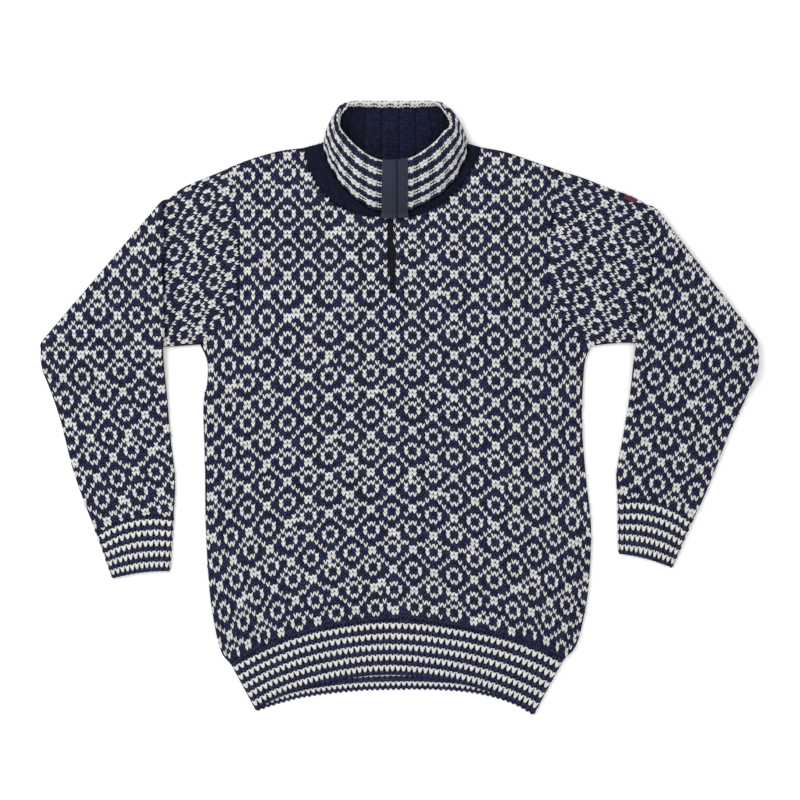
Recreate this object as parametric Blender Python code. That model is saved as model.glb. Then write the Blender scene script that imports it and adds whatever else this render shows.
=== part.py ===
"""Half-zip sweater, laid flat with its front up and its sleeves folded forward.

Frame: +Y runs from the hem to the collar, +X to the right as seen from above,
and +Z up. The sweater lies on Z = 0. Sizes are in millimetres, and each mesh is
scaled to metres as it is made.
"""

import math

import bmesh
import bpy
from mathutils import Vector
from mathutils.geometry import delaunay_2d_cdt

MM = 0.001

# ---------------------------------------------------------------- driving sizes

WALL = 3.0             # thickness of the stranded knit
SEAM = 0.3             # gap between pieces at every seam
EDGE_LIP = 0.9         # thickness left at the outermost line of a side fold
EDGE_ROUND = 4.5       # distance over which a side fold rounds off
FRONT_LOW = 3.6        # underside of the front panel next to its edges
FRONT_PUFF = 1.6       # how much more the front panel lifts away from them
PUFF_REACH = 45.0      # distance over which it lifts
PANEL_STEP = 42.0      # mesh size inside a panel
PANEL_MARGIN = 0.4     # share of it kept free along the outline
FOLD_INSETS = (0.22, 1.0)   # lines of points beside a side fold, as shares of EDGE_ROUND
FOLD_CLEARANCE = 0.8   # share of an inset that such a point must keep from the outline
OUTLINE_STEP = 24.0    # mesh size along a panel's outline
NECK_STEP = 13.0       # mesh size along the neckline

RIB_RELIEF = 1.1       # depth of the valleys of a rib
HEM_RIBS = 43          # ribs across one half of the hem
CUFF_RIBS = 20         # ribs around a cuff
BAND_RIB_STEP = 4.4    # half a rib of the neck band

ROLL_CENTRE = 7.0      # height of the line that a folded sleeve turns about
FOLD_STEPS = 6         # rings through the half turn of a fold
DROP_START = 50.0      # Y at which a lower sleeve leaves the upper one
DROP_LENGTH = 46.0     # Y over which it comes down to the surface

COLLAR_RIBS = 20       # 2 x 2 ribs round the collar
COLLAR_RELIEF = 1.4
LINING_GAP = 0.6       # room between the collar and its lining, which both curve
LINING_WALL = 2.4
WALL_SHARES = (0.14, 0.36, 0.58, 0.78)   # heights in the collar's wall that carry points
RIM_LIP = 7.0          # how far the rim rolls down inside
RIM_ROUND = 2.6

TURN_STEP = 1.0        # steps used to find the direction of the collar's wall
SHARE_STEP = 0.02
SEARCH_REACH = 45.0    # turns on each side of the zip that are searched for an x
SEARCH_STEPS = 40
LINING_RELIEF = 0.84

BAND_ROWS = (0.0, 0.5, 1.0)
BAND_LEAST = 1.0       # least thickness of the neck band above its lip

ZIP_GAP = 5.0          # half the gap between the collar's front edges
SLIT_HALF = 3.0        # half the slit in the front panel
ZIP_TOP_X = -12.0      # the zip's middle line at the neck
ZIP_END_X = -8.6       # and at the foot of the slit
SLIT_TOP_Y = 251.0
SLIT_END_Y = 151.0
COIL_HALF_WIDTH = 2.2
COIL_HEIGHT = 2.0
COIL_STATIONS = 6      # sections in the body, and again in the collar
COIL_FOOT = 1.5        # start of the coil above the foot of the slit
COIL_NECK = 1.0        # end of its straight part below the neck
COIL_RISE = (0.03, 0.86)    # its run up the collar, as shares of the height
TAPE_WIDTH = 11.0
TAPE_WALL = 0.9
TAPE_NECK = 2.0        # end of the tape below the neck
TAPE_FOOT = 6.0        # end of the tape past the foot of the slit
SLIDER_DEPTH = 4.4
SLIT_STEPS = 4
RIBBON_WALL = 1.1
RIBBON_CROWN = 1.6     # how far a ribbon bulges along its middle
RIBBON_FLAT = 0.4      # share of that bulge on the right ribbon, which lies flatter
RIBBON_ROWS = (0.0, 0.2, 0.4, 0.6, 0.8, 1.0)
RIBBON_POINTS = 5
RIBBON_LEFT_X = (-23.4, -3.3)
RIBBON_RIGHT_X = (-3.0, 12.5)
TAB_PLACE = 0.78       # where the tab sits along the right sleeve's top fold
TAB_HALF_LENGTH = 4.0

SHARP_ANGLE = 42.0     # edges sharper than this are shaded as corners

TUBE_TOP = 2 * WALL + 2 * SEAM          # height of a flattened tube
SLEEVE_MIDDLES = (0.2, 0.4, 0.6, 0.8)   # places across a sleeve that carry points
ARMHOLE_BOWS = (1.0, 0.55, 0.2)         # how the armhole's bow fades along the sleeve
CUFF_ROWS = (0.0, 0.4, 0.8, 1.0)

# ------------------------------------------------------------------- outlines
# Points are (x, y) in millimetres. Each outline has a left and a right column,
# because the sweater was not laid down exactly even.

# The side of the body from the underarm to the top of the hem rib.
SIDE = [
    # left x, left y, right x, right y
    (-263, 82, 253, 80),
    (-254, 60, 246, 64),
    (-254, 32, 243, 38),
    (-259, 5, 241, -18),
    (-257, -75, 246, -90),
    (-256, -156, 253, -158),
    (-251, -242, 250, -236),
    (-244, -290, 242, -285),
    (-235, -325, 232, -318),
    (-222, -341, 216, -335),
]

# The armhole seam from the shoulder to the underarm.
ARMHOLE = [
    # left x, left y, right x, right y
    (-225, 316, 212, 312),
    (-218, 262, 203, 254),
    (-212, 200, 196, 190),
    (-214, 150, 200, 140),
    (-232, 114, 220, 108),
    (-263, 82, 253, 80),
]

# The shoulder line from the neck to the armhole.
SHOULDER = [
    # left x, left y, right x, right y
    (-127, 342, 107, 343),
    (-158, 338, 139, 337),
    (-197, 327, 177, 324),
    (-225, 316, 212, 312),
]

# The seam between the front panel and the neck band, from the zip to the shoulder.
NECKLINE = [
    # left x, left y, right x, right y
    (-15, 251, -9, 251),
    (-34, 252, 14, 252),
    (-58, 257, 36, 259),
    (-86, 269, 59, 270),
    (-106, 290, 78, 288),
    (-119, 314, 95, 314),
    (-127, 342, 107, 343),
]

# The seam between the back panel and the neck band, from the shoulder to the middle.
BACK_NECKLINE = [
    # left x, left y, right x, right y
    (-127, 342, 107, 343),
    (-96, 322, 78, 322),
    (-56, 304, 42, 304),
    (-6, 297, -6, 297),
]

# The top of the hem rib, which draws the knit up in the middle.
HEM_TOP = [
    # x, y
    (-222, -341),
    (-178, -319),
    (-129, -300),
    (-60, -286),
    (0, -282),
    (70, -290),
    (140, -305),
    (184, -320),
    (216, -335),
]

# The lower edges of the hem's two halves.
HEM_END = [
    # x, front y, back y
    (-190, -400, -401),
    (-160, -384, -391),
    (-129, -373, -383),
    (-70, -359, -375),
    (-10, -354, -372),
    (60, -361, -373),
    (110, -374, -379),
    (150, -390, -391),
    (178, -404, -406),
]

# A sleeve, as lines across it from its top fold to its underarm seam. The first
# line lies along the armhole, "in" and "out" are where the diagonal fold starts
# and ends, and "cuff" is the seam to the cuff.
SLEEVES = {
    "left": [
        # line, top x, top y, underarm x, underarm y
        ("upper", -225, 316, -263, 82),
        ("upper", -254, 304, -310, 79),
        ("upper", -276, 295, -372, 80),
        ("upper", -292, 286, -432, 83),
        ("in", -304, 275, -467, 84),
        ("out", -311, 265, -473, 75),
        ("lower", -311, 225, -473, 60),
        ("lower", -311, 172, -470, 45),
        ("lower", -311, 120, -463, 26),
        ("lower", -311, 88, -458, 11),
        ("lower", -310, 58, -453, -4),
        ("lower", -307, 22, -446, -27),
        ("lower", -302, -40, -433, -80),
        ("lower", -296, -98, -415, -132),
        ("cuff", -298, -148, -400, -169),
    ],
    "right": [
        # line, top x, top y, underarm x, underarm y
        ("upper", 212, 312, 253, 80),
        ("upper", 240, 304, 292, 84),
        ("upper", 278, 289, 352, 83),
        ("upper", 306, 279, 418, 83),
        ("in", 327, 267, 466, 87),
        ("out", 334, 257, 472, 78),
        ("lower", 333, 214, 474, 60),
        ("lower", 330, 168, 471, 42),
        ("lower", 321, 126, 462, 22),
        ("lower", 313, 92, 455, 4),
        ("lower", 308, 62, 447, -12),
        ("lower", 304, 18, 436, -36),
        ("lower", 295, -38, 419, -80),
        ("lower", 286, -92, 401, -124),
        ("cuff", 288, -126, 387, -152),
    ],
}

# The free end of each cuff, and how far the two seams of a cuff bow up.
CUFFS = {
    # side: top x, top y, underarm x, underarm y, bow of the seam, bow of the end
    "left": (-303, -217, -380, -227, 11.0, 3.0),
    "right": (289, -194, 361, -213, 12.0, 3.0),
}

# The collar's outer face: where it leaves the neck band and where its rim is,
# counted from the zip round by the right, the back and the left.
COLLAR = [
    # base x, base y, base z, rim x, rim y, rim z, bulge
    (-12, 256, 12.0, -12, 322, 36, 6),
    (13, 258, 12.0, 13, 325, 36, 6),
    (34, 267, 12.0, 29, 333, 36, 6),
    (56, 281, 12.0, 46, 346, 35, 7),
    (76, 302, 12.0, 60, 362, 32, 7),
    (87, 325, 12.5, 67, 368, 28, 6),
    (90, 342, 10.0, 69, 384, 21, 4),
    (86, 351, 5.0, 65, 396, 12, 3),
    (75, 346, 1.2, 57, 402, 4, 1),
    (55, 333, 0.0, 42, 404, 0, 0),
    (30, 323, 0.0, 26, 404, 0, 0),
    (-6, 319, 0.0, -6, 404, 0, 0),
    (-42, 323, 0.0, -38, 404, 0, 0),
    (-69, 333, 0.0, -57, 404, 0, 0),
    (-91, 347, 1.2, -73, 402, 4, 1),
    (-103, 352, 5.0, -83, 397, 12, 4),
    (-107, 343, 10.0, -87, 386, 21, 7),
    (-102, 325, 12.5, -83, 369, 28, 8),
    (-88, 300, 12.0, -71, 353, 32, 7),
    (-68, 277, 12.0, -55, 338, 35, 7),
    (-46, 264, 12.0, -40, 328, 36, 6),
    (-28, 257, 12.0, -26, 323, 36, 6),
]

# ---------------------------------------------------------------- cross-sections

# A flattened sleeve next to its side folds.
SLEEVE_SECTION_OUTER = [
    # distance in from the fold, height as a share
    (0.0, 0.5),
    (1.3, 0.84),
    (5.0, 1.0),
]
SLEEVE_SECTION_INNER = [
    # distance in from the fold, height as a share
    (4.0, 0.0),
    (7.0, 0.5),
    (12.0, 1.0),
]

# The hem rib from its seam to its free end.
HEM_ROWS = [
    # share of the way down, thickness lost
    (0.0, 0.0),
    (0.93, 0.15),
    (1.0, 0.9),
]

# The collar's rim where it rolls over to the inside.
RIM_SECTION = [
    # share of RIM_ROUND below the top, share of the whole wall's depth
    (1.0, 0.0),
    (0.3, 0.22),
    (0.0, 0.5),
    (0.3, 0.78),
    (1.0, 1.0),
]

# The closed zip coil.
COIL_SECTION = [
    # share of the half width, share of the height
    (-1.0, -0.5),
    (-1.0, 0.15),
    (-0.45, 0.5),
    (0.45, 0.5),
    (1.0, 0.15),
    (1.0, -0.5),
]

SLIDER_ROWS = [
    # share of the collar's height, half width
    (0.872, 2.6),
    (0.9, 3.9),
    (0.95, 3.9),
    (0.975, 3.2),
]

TAB_ROWS = [
    # reach out of the fold, half thickness
    (0.0, 0.7),
    (3.2, 0.8),
    (4.4, 0.3),
]

# -------------------------------------------------------------------- finishes

# Each finish is a linear colour, a roughness and a metallic value.
STRANDED_KNIT = ((0.0152, 0.0194, 0.0497, 1.0), 0.92, 0.0)
NAVY_KNIT = ((0.013, 0.016, 0.0395, 1.0), 0.92, 0.0)
STRIPED_RIB = ((0.2051, 0.2122, 0.2542, 1.0), 0.92, 0.0)
LINING_RIB = ((0.0091, 0.011, 0.0296, 1.0), 0.92, 0.0)
GROSGRAIN = ((0.0382, 0.0482, 0.0802, 1.0), 0.6, 0.0)
ZIP_TAPE = ((0.0116, 0.0137, 0.0242, 1.0), 0.75, 0.0)
ZIP_COIL = ((0.0168, 0.0116, 0.0097, 1.0), 0.45, 0.0)
SLIDER_METAL = ((0.0685, 0.063, 0.0595, 1.0), 0.35, 1.0)
TAB_TAPE = ((0.2542, 0.0232, 0.0232, 1.0), 0.8, 0.0)


def clear_scene():
    """Remove every object of the open file."""
    for thing in list(bpy.data.objects):
        bpy.data.objects.remove(thing, do_unlink=True)


def principled(name, finish):
    """A Principled material with one colour."""
    colour, roughness, metallic = finish
    material = bpy.data.materials.new(name)
    material.use_nodes = True
    shader = material.node_tree.nodes["Principled BSDF"]
    shader.inputs["Base Color"].default_value = colour
    shader.inputs["Roughness"].default_value = roughness
    shader.inputs["Metallic"].default_value = metallic
    material.diffuse_color = colour
    return material


# ------------------------------------------------------------- curve functions

def lerp(first, second, share):
    """The point at a share of the way between two points or numbers."""
    if isinstance(first, (int, float)):
        return first + (second - first) * share
    return tuple(a + (b - a) * share for a, b in zip(first, second))


def distance(first, second):
    return math.sqrt(sum((a - b) ** 2 for a, b in zip(first, second)))


def hermite(rows, keys, place, closed_length=None):
    """Smooth value of a table of rows at a place along its keys."""
    count = len(rows)
    if closed_length is not None:
        place = place % closed_length
    index = count - 1 if closed_length is not None else count - 2
    for candidate in range(count - 1):
        if place < keys[candidate + 1]:
            index = candidate
            break

    def key(number):
        if closed_length is None:
            return keys[min(max(number, 0), count - 1)]
        return keys[number % count] + closed_length * (number // count)

    def row(number):
        if closed_length is None:
            return rows[min(max(number, 0), count - 1)]
        return rows[number % count]

    span = key(index + 1) - key(index)
    share = min(max((place - key(index)) / span, 0.0), 1.0)

    def slope(number, column):
        run = key(number + 1) - key(number - 1)
        return (row(number + 1)[column] - row(number - 1)[column]) / run * span

    square = share * share
    cube = square * share
    value = []
    for column in range(len(rows[0])):
        value.append((2 * cube - 3 * square + 1) * row(index)[column]
                     + (cube - 2 * square + share) * slope(index, column)
                     + (3 * square - 2 * cube) * row(index + 1)[column]
                     + (cube - square) * slope(index + 1, column))
    return tuple(value)


def chord_keys(points):
    """Distance along a line of points, for use as its keys."""
    keys = [0.0]
    for before, after in zip(points, points[1:]):
        keys.append(keys[-1] + distance(before, after))
    return keys


def resample(points, step=None, count=None):
    """Points at even spacing along a smooth curve through the given points."""
    keys = chord_keys(points)
    if count is None:
        count = max(2, math.ceil(keys[-1] / step) + 1)
    return [hermite(points, keys, keys[-1] * number / (count - 1)) for number in range(count)]


def along(points, share):
    """The point at a share of the length of a polyline."""
    keys = chord_keys(points)
    place = min(max(share, 0.0), 1.0) * keys[-1]
    for number in range(len(points) - 1):
        if place <= keys[number + 1] or number == len(points) - 2:
            run = keys[number + 1] - keys[number]
            return lerp(points[number], points[number + 1], (place - keys[number]) / run)
    return points[-1]


def column_pair(table, side):
    """The left or the right half of a table of paired points."""
    first = 0 if side == "left" else 2
    return [(row[first], row[first + 1]) for row in table]


def distance_to_line(place, line):
    """Shortest distance from a point to a polyline."""
    best = 1e9
    for start, end in zip(line, line[1:]):
        run_x = end[0] - start[0]
        run_y = end[1] - start[1]
        length = run_x * run_x + run_y * run_y
        share = 0.0
        if length > 0.0:
            share = ((place[0] - start[0]) * run_x + (place[1] - start[1]) * run_y) / length
            share = min(max(share, 0.0), 1.0)
        best = min(best, math.hypot(place[0] - start[0] - share * run_x,
                                    place[1] - start[1] - share * run_y))
    return best


def is_inside(place, outline):
    """Whether a point lies inside a closed outline."""
    inside = False
    for number, start in enumerate(outline):
        end = outline[number - 1]
        if (start[1] > place[1]) != (end[1] > place[1]):
            cross = (end[0] - start[0]) * (place[1] - start[1]) / (end[1] - start[1]) + start[0]
            if place[0] < cross:
                inside = not inside
    return inside


def shifted(points, amount):
    """A polyline moved sideways to its right by an amount."""
    moved = []
    last = len(points) - 1
    for number, point in enumerate(points):
        before = points[max(number - 1, 0)]
        after = points[min(number + 1, last)]
        run_x = after[0] - before[0]
        run_y = after[1] - before[1]
        length = math.hypot(run_x, run_y)
        moved.append((point[0] + amount * run_y / length, point[1] - amount * run_x / length))
    return moved


def round_share(edge):
    """0 at the outermost line of a side fold and 1 where it is fully thick."""
    share = min(max(edge / EDGE_ROUND, 0.0), 1.0)
    return math.sqrt(1.0 - (1.0 - share) ** 2)


def ease(share):
    share = min(max(share, 0.0), 1.0)
    return share * share * (3.0 - 2.0 * share)


# --------------------------------------------------------------- mesh functions

def add_object(name, points, faces, finish):
    """Make a mesh object from points in millimetres, with its faces outward."""
    mesh = bpy.data.meshes.new(name)
    mesh.from_pydata([tuple(value * MM for value in point) for point in points], [], faces)
    model = bmesh.new()
    model.from_mesh(mesh)
    bmesh.ops.recalc_face_normals(model, faces=model.faces)
    if model.calc_volume(signed=True) < 0.0:
        bmesh.ops.reverse_faces(model, faces=model.faces)
    model.to_mesh(mesh)
    model.free()
    mesh.materials.append(principled(name.replace("_", " "), finish))
    mesh.shade_smooth()
    mesh.set_sharp_from_angle(angle=math.radians(SHARP_ANGLE))
    thing = bpy.data.objects.new(name, mesh)
    bpy.context.scene.collection.objects.link(thing)


def grid_faces(rows, columns, closed_columns=False, start=0):
    """Triangles between the points of a grid that is stored row by row.

    In a closed ring the second half is split along the other diagonal, so that
    the two layers of a flattened tube bend in the same way.
    """
    faces = []
    last = columns if closed_columns else columns - 1
    for row in range(rows - 1):
        for column in range(last):
            following = (column + 1) % columns
            near = start + row * columns + column
            near_next = start + row * columns + following
            far = start + (row + 1) * columns + column
            far_next = start + (row + 1) * columns + following
            if closed_columns and 2 * column >= columns:
                faces += [(near, near_next, far), (near_next, far_next, far)]
            else:
                faces += [(near, near_next, far_next), (near, far_next, far)]
    return faces


def slab(name, upper, lower, finish):
    """A closed wall between two grids of points of the same size."""
    rows = len(upper)
    columns = len(upper[0])
    size = rows * columns
    points = [point for row in upper for point in row]
    points += [point for row in lower for point in row]
    faces = grid_faces(rows, columns)
    faces += [tuple(reversed(face)) for face in grid_faces(rows, columns, start=size)]
    rim = list(range(columns))
    rim += [row * columns + columns - 1 for row in range(1, rows)]
    rim += [(rows - 1) * columns + column for column in range(columns - 2, -1, -1)]
    rim += [row * columns for row in range(rows - 2, 0, -1)]
    for number, first in enumerate(rim):
        second = rim[(number + 1) % len(rim)]
        faces.append((second, first, first + size, second + size))
    add_object(name, points, faces, finish)


def tube(name, outer, inner, finish):
    """A closed tube wall between outer rings and inner rings of the same size."""
    rows = len(outer)
    columns = len(outer[0])
    size = rows * columns
    points = [point for ring in outer for point in ring]
    points += [point for ring in inner for point in ring]
    faces = grid_faces(rows, columns, closed_columns=True)
    faces += [tuple(reversed(face))
              for face in grid_faces(rows, columns, closed_columns=True, start=size)]
    for row in (0, rows - 1):
        for column in range(columns):
            following = (column + 1) % columns
            first = row * columns + column
            second = row * columns + following
            faces.append((first, second, second + size, first + size))
    add_object(name, points, faces, finish)


def sweep(name, sections, finish):
    """A closed solid through cross-sections that all have the same points."""
    columns = len(sections[0])
    points = [point for section in sections for point in section]
    faces = grid_faces(len(sections), columns, closed_columns=True)
    faces.append(tuple(range(columns)))
    faces.append(tuple(range(len(points) - 1, len(points) - 1 - columns, -1)))
    add_object(name, points, faces, finish)


def cloth_panel(name, outline, folds, high, low, finish):
    """A wall with a free outline, rounded along the folds among its edges."""
    places = list(outline)
    border = [(number, (number + 1) % len(outline)) for number in range(len(outline))]
    for fold in folds:
        for inset in (share * EDGE_ROUND for share in FOLD_INSETS):
            for place in shifted(fold, -inset):
                clear = distance_to_line(place, outline) > FOLD_CLEARANCE * inset
                if clear and is_inside(place, outline):
                    places.append(place)
    closed = list(outline) + [outline[0]]
    low_x = min(point[0] for point in outline)
    high_x = max(point[0] for point in outline)
    low_y = min(point[1] for point in outline)
    high_y = max(point[1] for point in outline)
    columns = round((high_x - low_x) / PANEL_STEP)
    rows = round((high_y - low_y) / PANEL_STEP)
    for row in range(1, rows):
        for column in range(1, columns):
            place = (lerp(low_x, high_x, column / columns), lerp(low_y, high_y, row / rows))
            clear = distance_to_line(place, closed) > PANEL_MARGIN * PANEL_STEP
            if clear and is_inside(place, outline):
                places.append(place)
    vectors = [Vector(place) for place in places]
    flat, _, triangles, _, _, _ = delaunay_2d_cdt(vectors, border, [], 1, 1e-6)
    count = len(flat)
    points = [(place.x, place.y, high(place.x, place.y)) for place in flat]
    points += [(place.x, place.y, low(place.x, place.y)) for place in flat]
    faces = []
    sides = set()
    for triangle in triangles:
        faces.append(tuple(triangle))
        faces.append(tuple(number + count for number in reversed(triangle)))
        for number, first in enumerate(triangle):
            second = triangle[(number + 1) % len(triangle)]
            sides.add((first, second))
    for first, second in sorted(sides):
        if (second, first) not in sides:
            faces.append((second, first, first + count, second + count))
    add_object(name, points, faces, finish)


# ------------------------------------------------------------------ body pieces

def side_lines():
    """The folded edges of the body: both sides and both shoulders."""
    left = resample(column_pair(SIDE, "left"), OUTLINE_STEP)
    right = resample(column_pair(SIDE, "right"), OUTLINE_STEP)
    shoulder_left = resample(column_pair(SHOULDER, "left"), OUTLINE_STEP)
    shoulder_right = resample(column_pair(SHOULDER, "right"), OUTLINE_STEP)
    return left, right, shoulder_left, shoulder_right


def front_high(x, y, folds, outline):
    """Upper face of the front panel."""
    edge = min(distance_to_line((x, y), fold) for fold in folds)
    low = front_low(x, y, outline)
    lip = FRONT_LOW - SEAM + EDGE_LIP
    return lip + (low + WALL - lip) * round_share(edge)


def front_low(x, y, outline):
    """Underside of the front panel, which lifts off the back away from its edges."""
    edge = distance_to_line((x, y), outline)
    return FRONT_LOW - SEAM + SEAM * ease(edge / EDGE_ROUND) + FRONT_PUFF * ease(edge / PUFF_REACH)


def armhole_line(side):
    """The armhole seam as straight stretches that the sleeve's end matches."""
    return resample(column_pair(ARMHOLE, side), count=len(SLEEVE_MIDDLES) + 2)


def neck_line(side):
    """The seam between the front panel and the neck band."""
    return resample(column_pair(NECKLINE, side), NECK_STEP)


def back_neck_line():
    """The seam between the back panel and the neck band, from left to right."""
    table = column_pair(BACK_NECKLINE, "left") + column_pair(BACK_NECKLINE, "right")[-2::-1]
    return resample(table, NECK_STEP)


def zip_x(y):
    """The zip's middle line in the body."""
    share = (SLIT_TOP_Y - y) / (SLIT_TOP_Y - SLIT_END_Y)
    return lerp(ZIP_TOP_X, ZIP_END_X, share)


def make_front_panel():
    left, right, shoulder_left, shoulder_right = side_lines()
    hem = resample(HEM_TOP, OUTLINE_STEP)
    armhole_left = armhole_line("left")
    armhole_right = armhole_line("right")
    neck_left = shifted(neck_line("left"), -SEAM)
    neck_right = shifted(neck_line("right"), SEAM)
    slit_y = [lerp(SLIT_TOP_Y, SLIT_END_Y, number / SLIT_STEPS)
              for number in range(SLIT_STEPS + 1)]
    slit_right = [(zip_x(y) + SLIT_HALF, y) for y in slit_y[1:]]
    slit_left = [(zip_x(y) - SLIT_HALF, y) for y in reversed(slit_y[1:])]
    outline = left[:-1] + hem + right[-2::-1]
    outline += armhole_right[-2::-1] + shoulder_right[-2:0:-1]
    outline += neck_right[::-1] + slit_right + slit_left + neck_left
    outline += shoulder_left[1:-1] + armhole_left[:-1]
    folds = [left, shoulder_left[::-1], right[::-1], shoulder_right]
    rest = left[::-1] + armhole_left[-2::-1] + shoulder_left[-2::-1] + shoulder_right
    rest += armhole_right[1:] + right[1:]

    def low(x, y):
        return front_low(x, y, rest)

    def high(x, y):
        return front_high(x, y, folds, rest)

    cloth_panel("front_panel", outline, folds, high, low, STRANDED_KNIT)


def make_back_panel():
    left, right, shoulder_left, shoulder_right = side_lines()
    hem = resample(HEM_TOP, OUTLINE_STEP)
    armhole_left = armhole_line("left")
    armhole_right = armhole_line("right")
    neck = shifted(back_neck_line(), SEAM)
    outline = left[:-1] + hem + right[-2::-1]
    outline += armhole_right[-2::-1] + shoulder_right[-2:0:-1]
    outline += neck[::-1] + shoulder_left[1:-1] + armhole_left[:-1]
    folds = [left, shoulder_left[::-1], right[::-1], shoulder_right]

    def high(x, y):
        return WALL

    def low(x, y):
        edge = min(distance_to_line((x, y), fold) for fold in folds)
        return (WALL - EDGE_LIP) * (1.0 - round_share(edge))

    cloth_panel("back_panel", outline, folds, high, low, STRANDED_KNIT)


def make_hem(name, end_column, base, faces_up):
    """Half of the hem: a strip of ribs between the panel's seam and its own end."""
    stations = 2 * HEM_RIBS + 1
    coarse = resample(HEM_TOP, OUTLINE_STEP)
    seam = [along(coarse, number / (stations - 1)) for number in range(stations)]
    seam = [(x, y - SEAM) for x, y in seam]
    end = resample([(row[0], row[end_column]) for row in HEM_END], count=stations)
    upper = []
    lower = []
    for share, loss in HEM_ROWS:
        upper_row = []
        lower_row = []
        for number in range(stations):
            x, y = lerp(seam[number], end[number], share)
            first = distance((x, y), lerp(seam[0], end[0], share))
            last = distance((x, y), lerp(seam[-1], end[-1], share))
            rounding = round_share(min(first, last))
            valley = RIB_RELIEF * (1 - number % 2)
            if faces_up:
                low = base - SEAM + SEAM * rounding
                high = low + EDGE_LIP + (WALL - EDGE_LIP - valley) * rounding - loss
            else:
                low = (WALL - EDGE_LIP) * (1.0 - rounding)
                high = WALL - valley * rounding - loss
            upper_row.append((x, y, high))
            lower_row.append((x, y, low))
        upper.append(upper_row)
        lower.append(lower_row)
    slab(name, upper, lower, STRIPED_RIB)


# ---------------------------------------------------------------------- sleeves

def section_line(width, outer):
    """The cross-section of a sleeve as (distance from its top fold, height)."""
    table = SLEEVE_SECTION_OUTER if outer else SLEEVE_SECTION_INNER
    middle = TUBE_TOP / 2
    half = middle if outer else SEAM
    line = []
    for inset, share in table:
        rise = half * (2.0 * share - 1.0) if outer else half * share
        line.append((inset, middle + rise))
    for share in SLEEVE_MIDDLES:
        line.append((width * share, middle + half))
    for inset, share in reversed(table):
        rise = half * (2.0 * share - 1.0) if outer else half * share
        line.append((width - inset, middle + rise))
    lower = [(across, 2.0 * middle - height) for across, height in reversed(line[1:-1])]
    return line + lower


def line_points(table_rows, index):
    """The two ends of a line across the sleeve."""
    row = table_rows[index]
    return (row[1], row[2]), (row[3], row[4])


def armhole_bow(side, share):
    """How far the armhole seam bows away from the straight line between its ends."""
    seam = armhole_line(side)
    point = along(seam, share)
    straight = lerp(seam[0], seam[-1], share)
    return point[0] - straight[0], point[1] - straight[1]


def fold_normal(side):
    """Outward normal of the diagonal fold, in the plane."""
    row = [row for row in SLEEVES[side] if row[0] == "in"][0]
    run = Vector((row[3] - row[1], row[4] - row[2])).normalized()
    normal = Vector((run.y, -run.x))
    outward = -1.0 if side == "left" else 1.0
    if normal.x * outward < 0.0:
        normal.negate()
    return normal


def seam_lift(share, bow):
    """Rise of a cuff's seam, in straight stretches between the sleeve's points."""
    places = (0.0,) + SLEEVE_MIDDLES + (1.0,)
    for before, after in zip(places, places[1:]):
        if share <= after:
            part = max(share - before, 0.0) / (after - before)
            return bow * 4.0 * lerp(before * (1.0 - before), after * (1.0 - after), part)
    return 0.0


def lower_height(y, height):
    """Height in the lower sleeve, turned over and laid down on the surface."""
    turned = 2.0 * ROLL_CENTRE - height
    return turned - (2.0 * ROLL_CENTRE - TUBE_TOP) * ease((DROP_START - y) / DROP_LENGTH)


def sleeve_ring(side, top, under, outer, kind, turn=0.0, bow=0.0, seam_bow=0.0):
    """One ring of a sleeve, flat, in the fold, or in the lower sleeve."""
    width = distance(top, under)
    normal = fold_normal(side)
    across = Vector((under[0] - top[0], under[1] - top[1])).normalized()
    lengthwise = Vector((-across.y, across.x))
    if lengthwise.y < 0.0:
        lengthwise.negate()
    ring = []
    for inset, height in section_line(width, outer):
        share = inset / width
        x, y = lerp(top, under, share)
        if bow:
            shift_x, shift_y = armhole_bow(side, share)
            x += shift_x * bow
            y += shift_y * bow
        lift = seam_lift(share, seam_bow)
        x += lengthwise.x * lift
        y += lengthwise.y * lift
        if kind == "fold":
            radius = ROLL_CENTRE - height
            x += normal.x * radius * math.sin(turn)
            y += normal.y * radius * math.sin(turn)
            height = ROLL_CENTRE - radius * math.cos(turn)
        elif kind == "lower":
            height = lower_height(y, height)
        ring.append((x, y, height))
    return ring


def sleeve_rings(side, outer):
    """All rings of a sleeve from the armhole to the cuff."""
    rows = SLEEVES[side]
    shift = -SEAM if side == "left" else SEAM
    rings = []
    for index, row in enumerate(rows):
        top, under = line_points(rows, index)
        if index == 0:
            top = (top[0] + shift, top[1])
            under = (under[0] + shift, under[1])
        if row[0] == "upper":
            bow = ARMHOLE_BOWS[index] if index < len(ARMHOLE_BOWS) else 0.0
            rings.append(sleeve_ring(side, top, under, outer, "flat", bow=bow))
        elif row[0] == "in":
            end_top, end_under = line_points(rows, index + 1)
            for step in range(FOLD_STEPS + 1):
                share = step / FOLD_STEPS
                rings.append(sleeve_ring(side, lerp(top, end_top, share),
                                         lerp(under, end_under, share),
                                         outer, "fold", turn=math.pi * share))
        elif row[0] in ("lower", "cuff"):
            seam_bow = CUFFS[side][4] if row[0] == "cuff" else 0.0
            rings.append(sleeve_ring(side, top, under, outer, "lower", seam_bow=seam_bow))
    return rings


def make_sleeve(side):
    tube("sleeve_" + side, sleeve_rings(side, True), sleeve_rings(side, False), STRANDED_KNIT)


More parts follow.
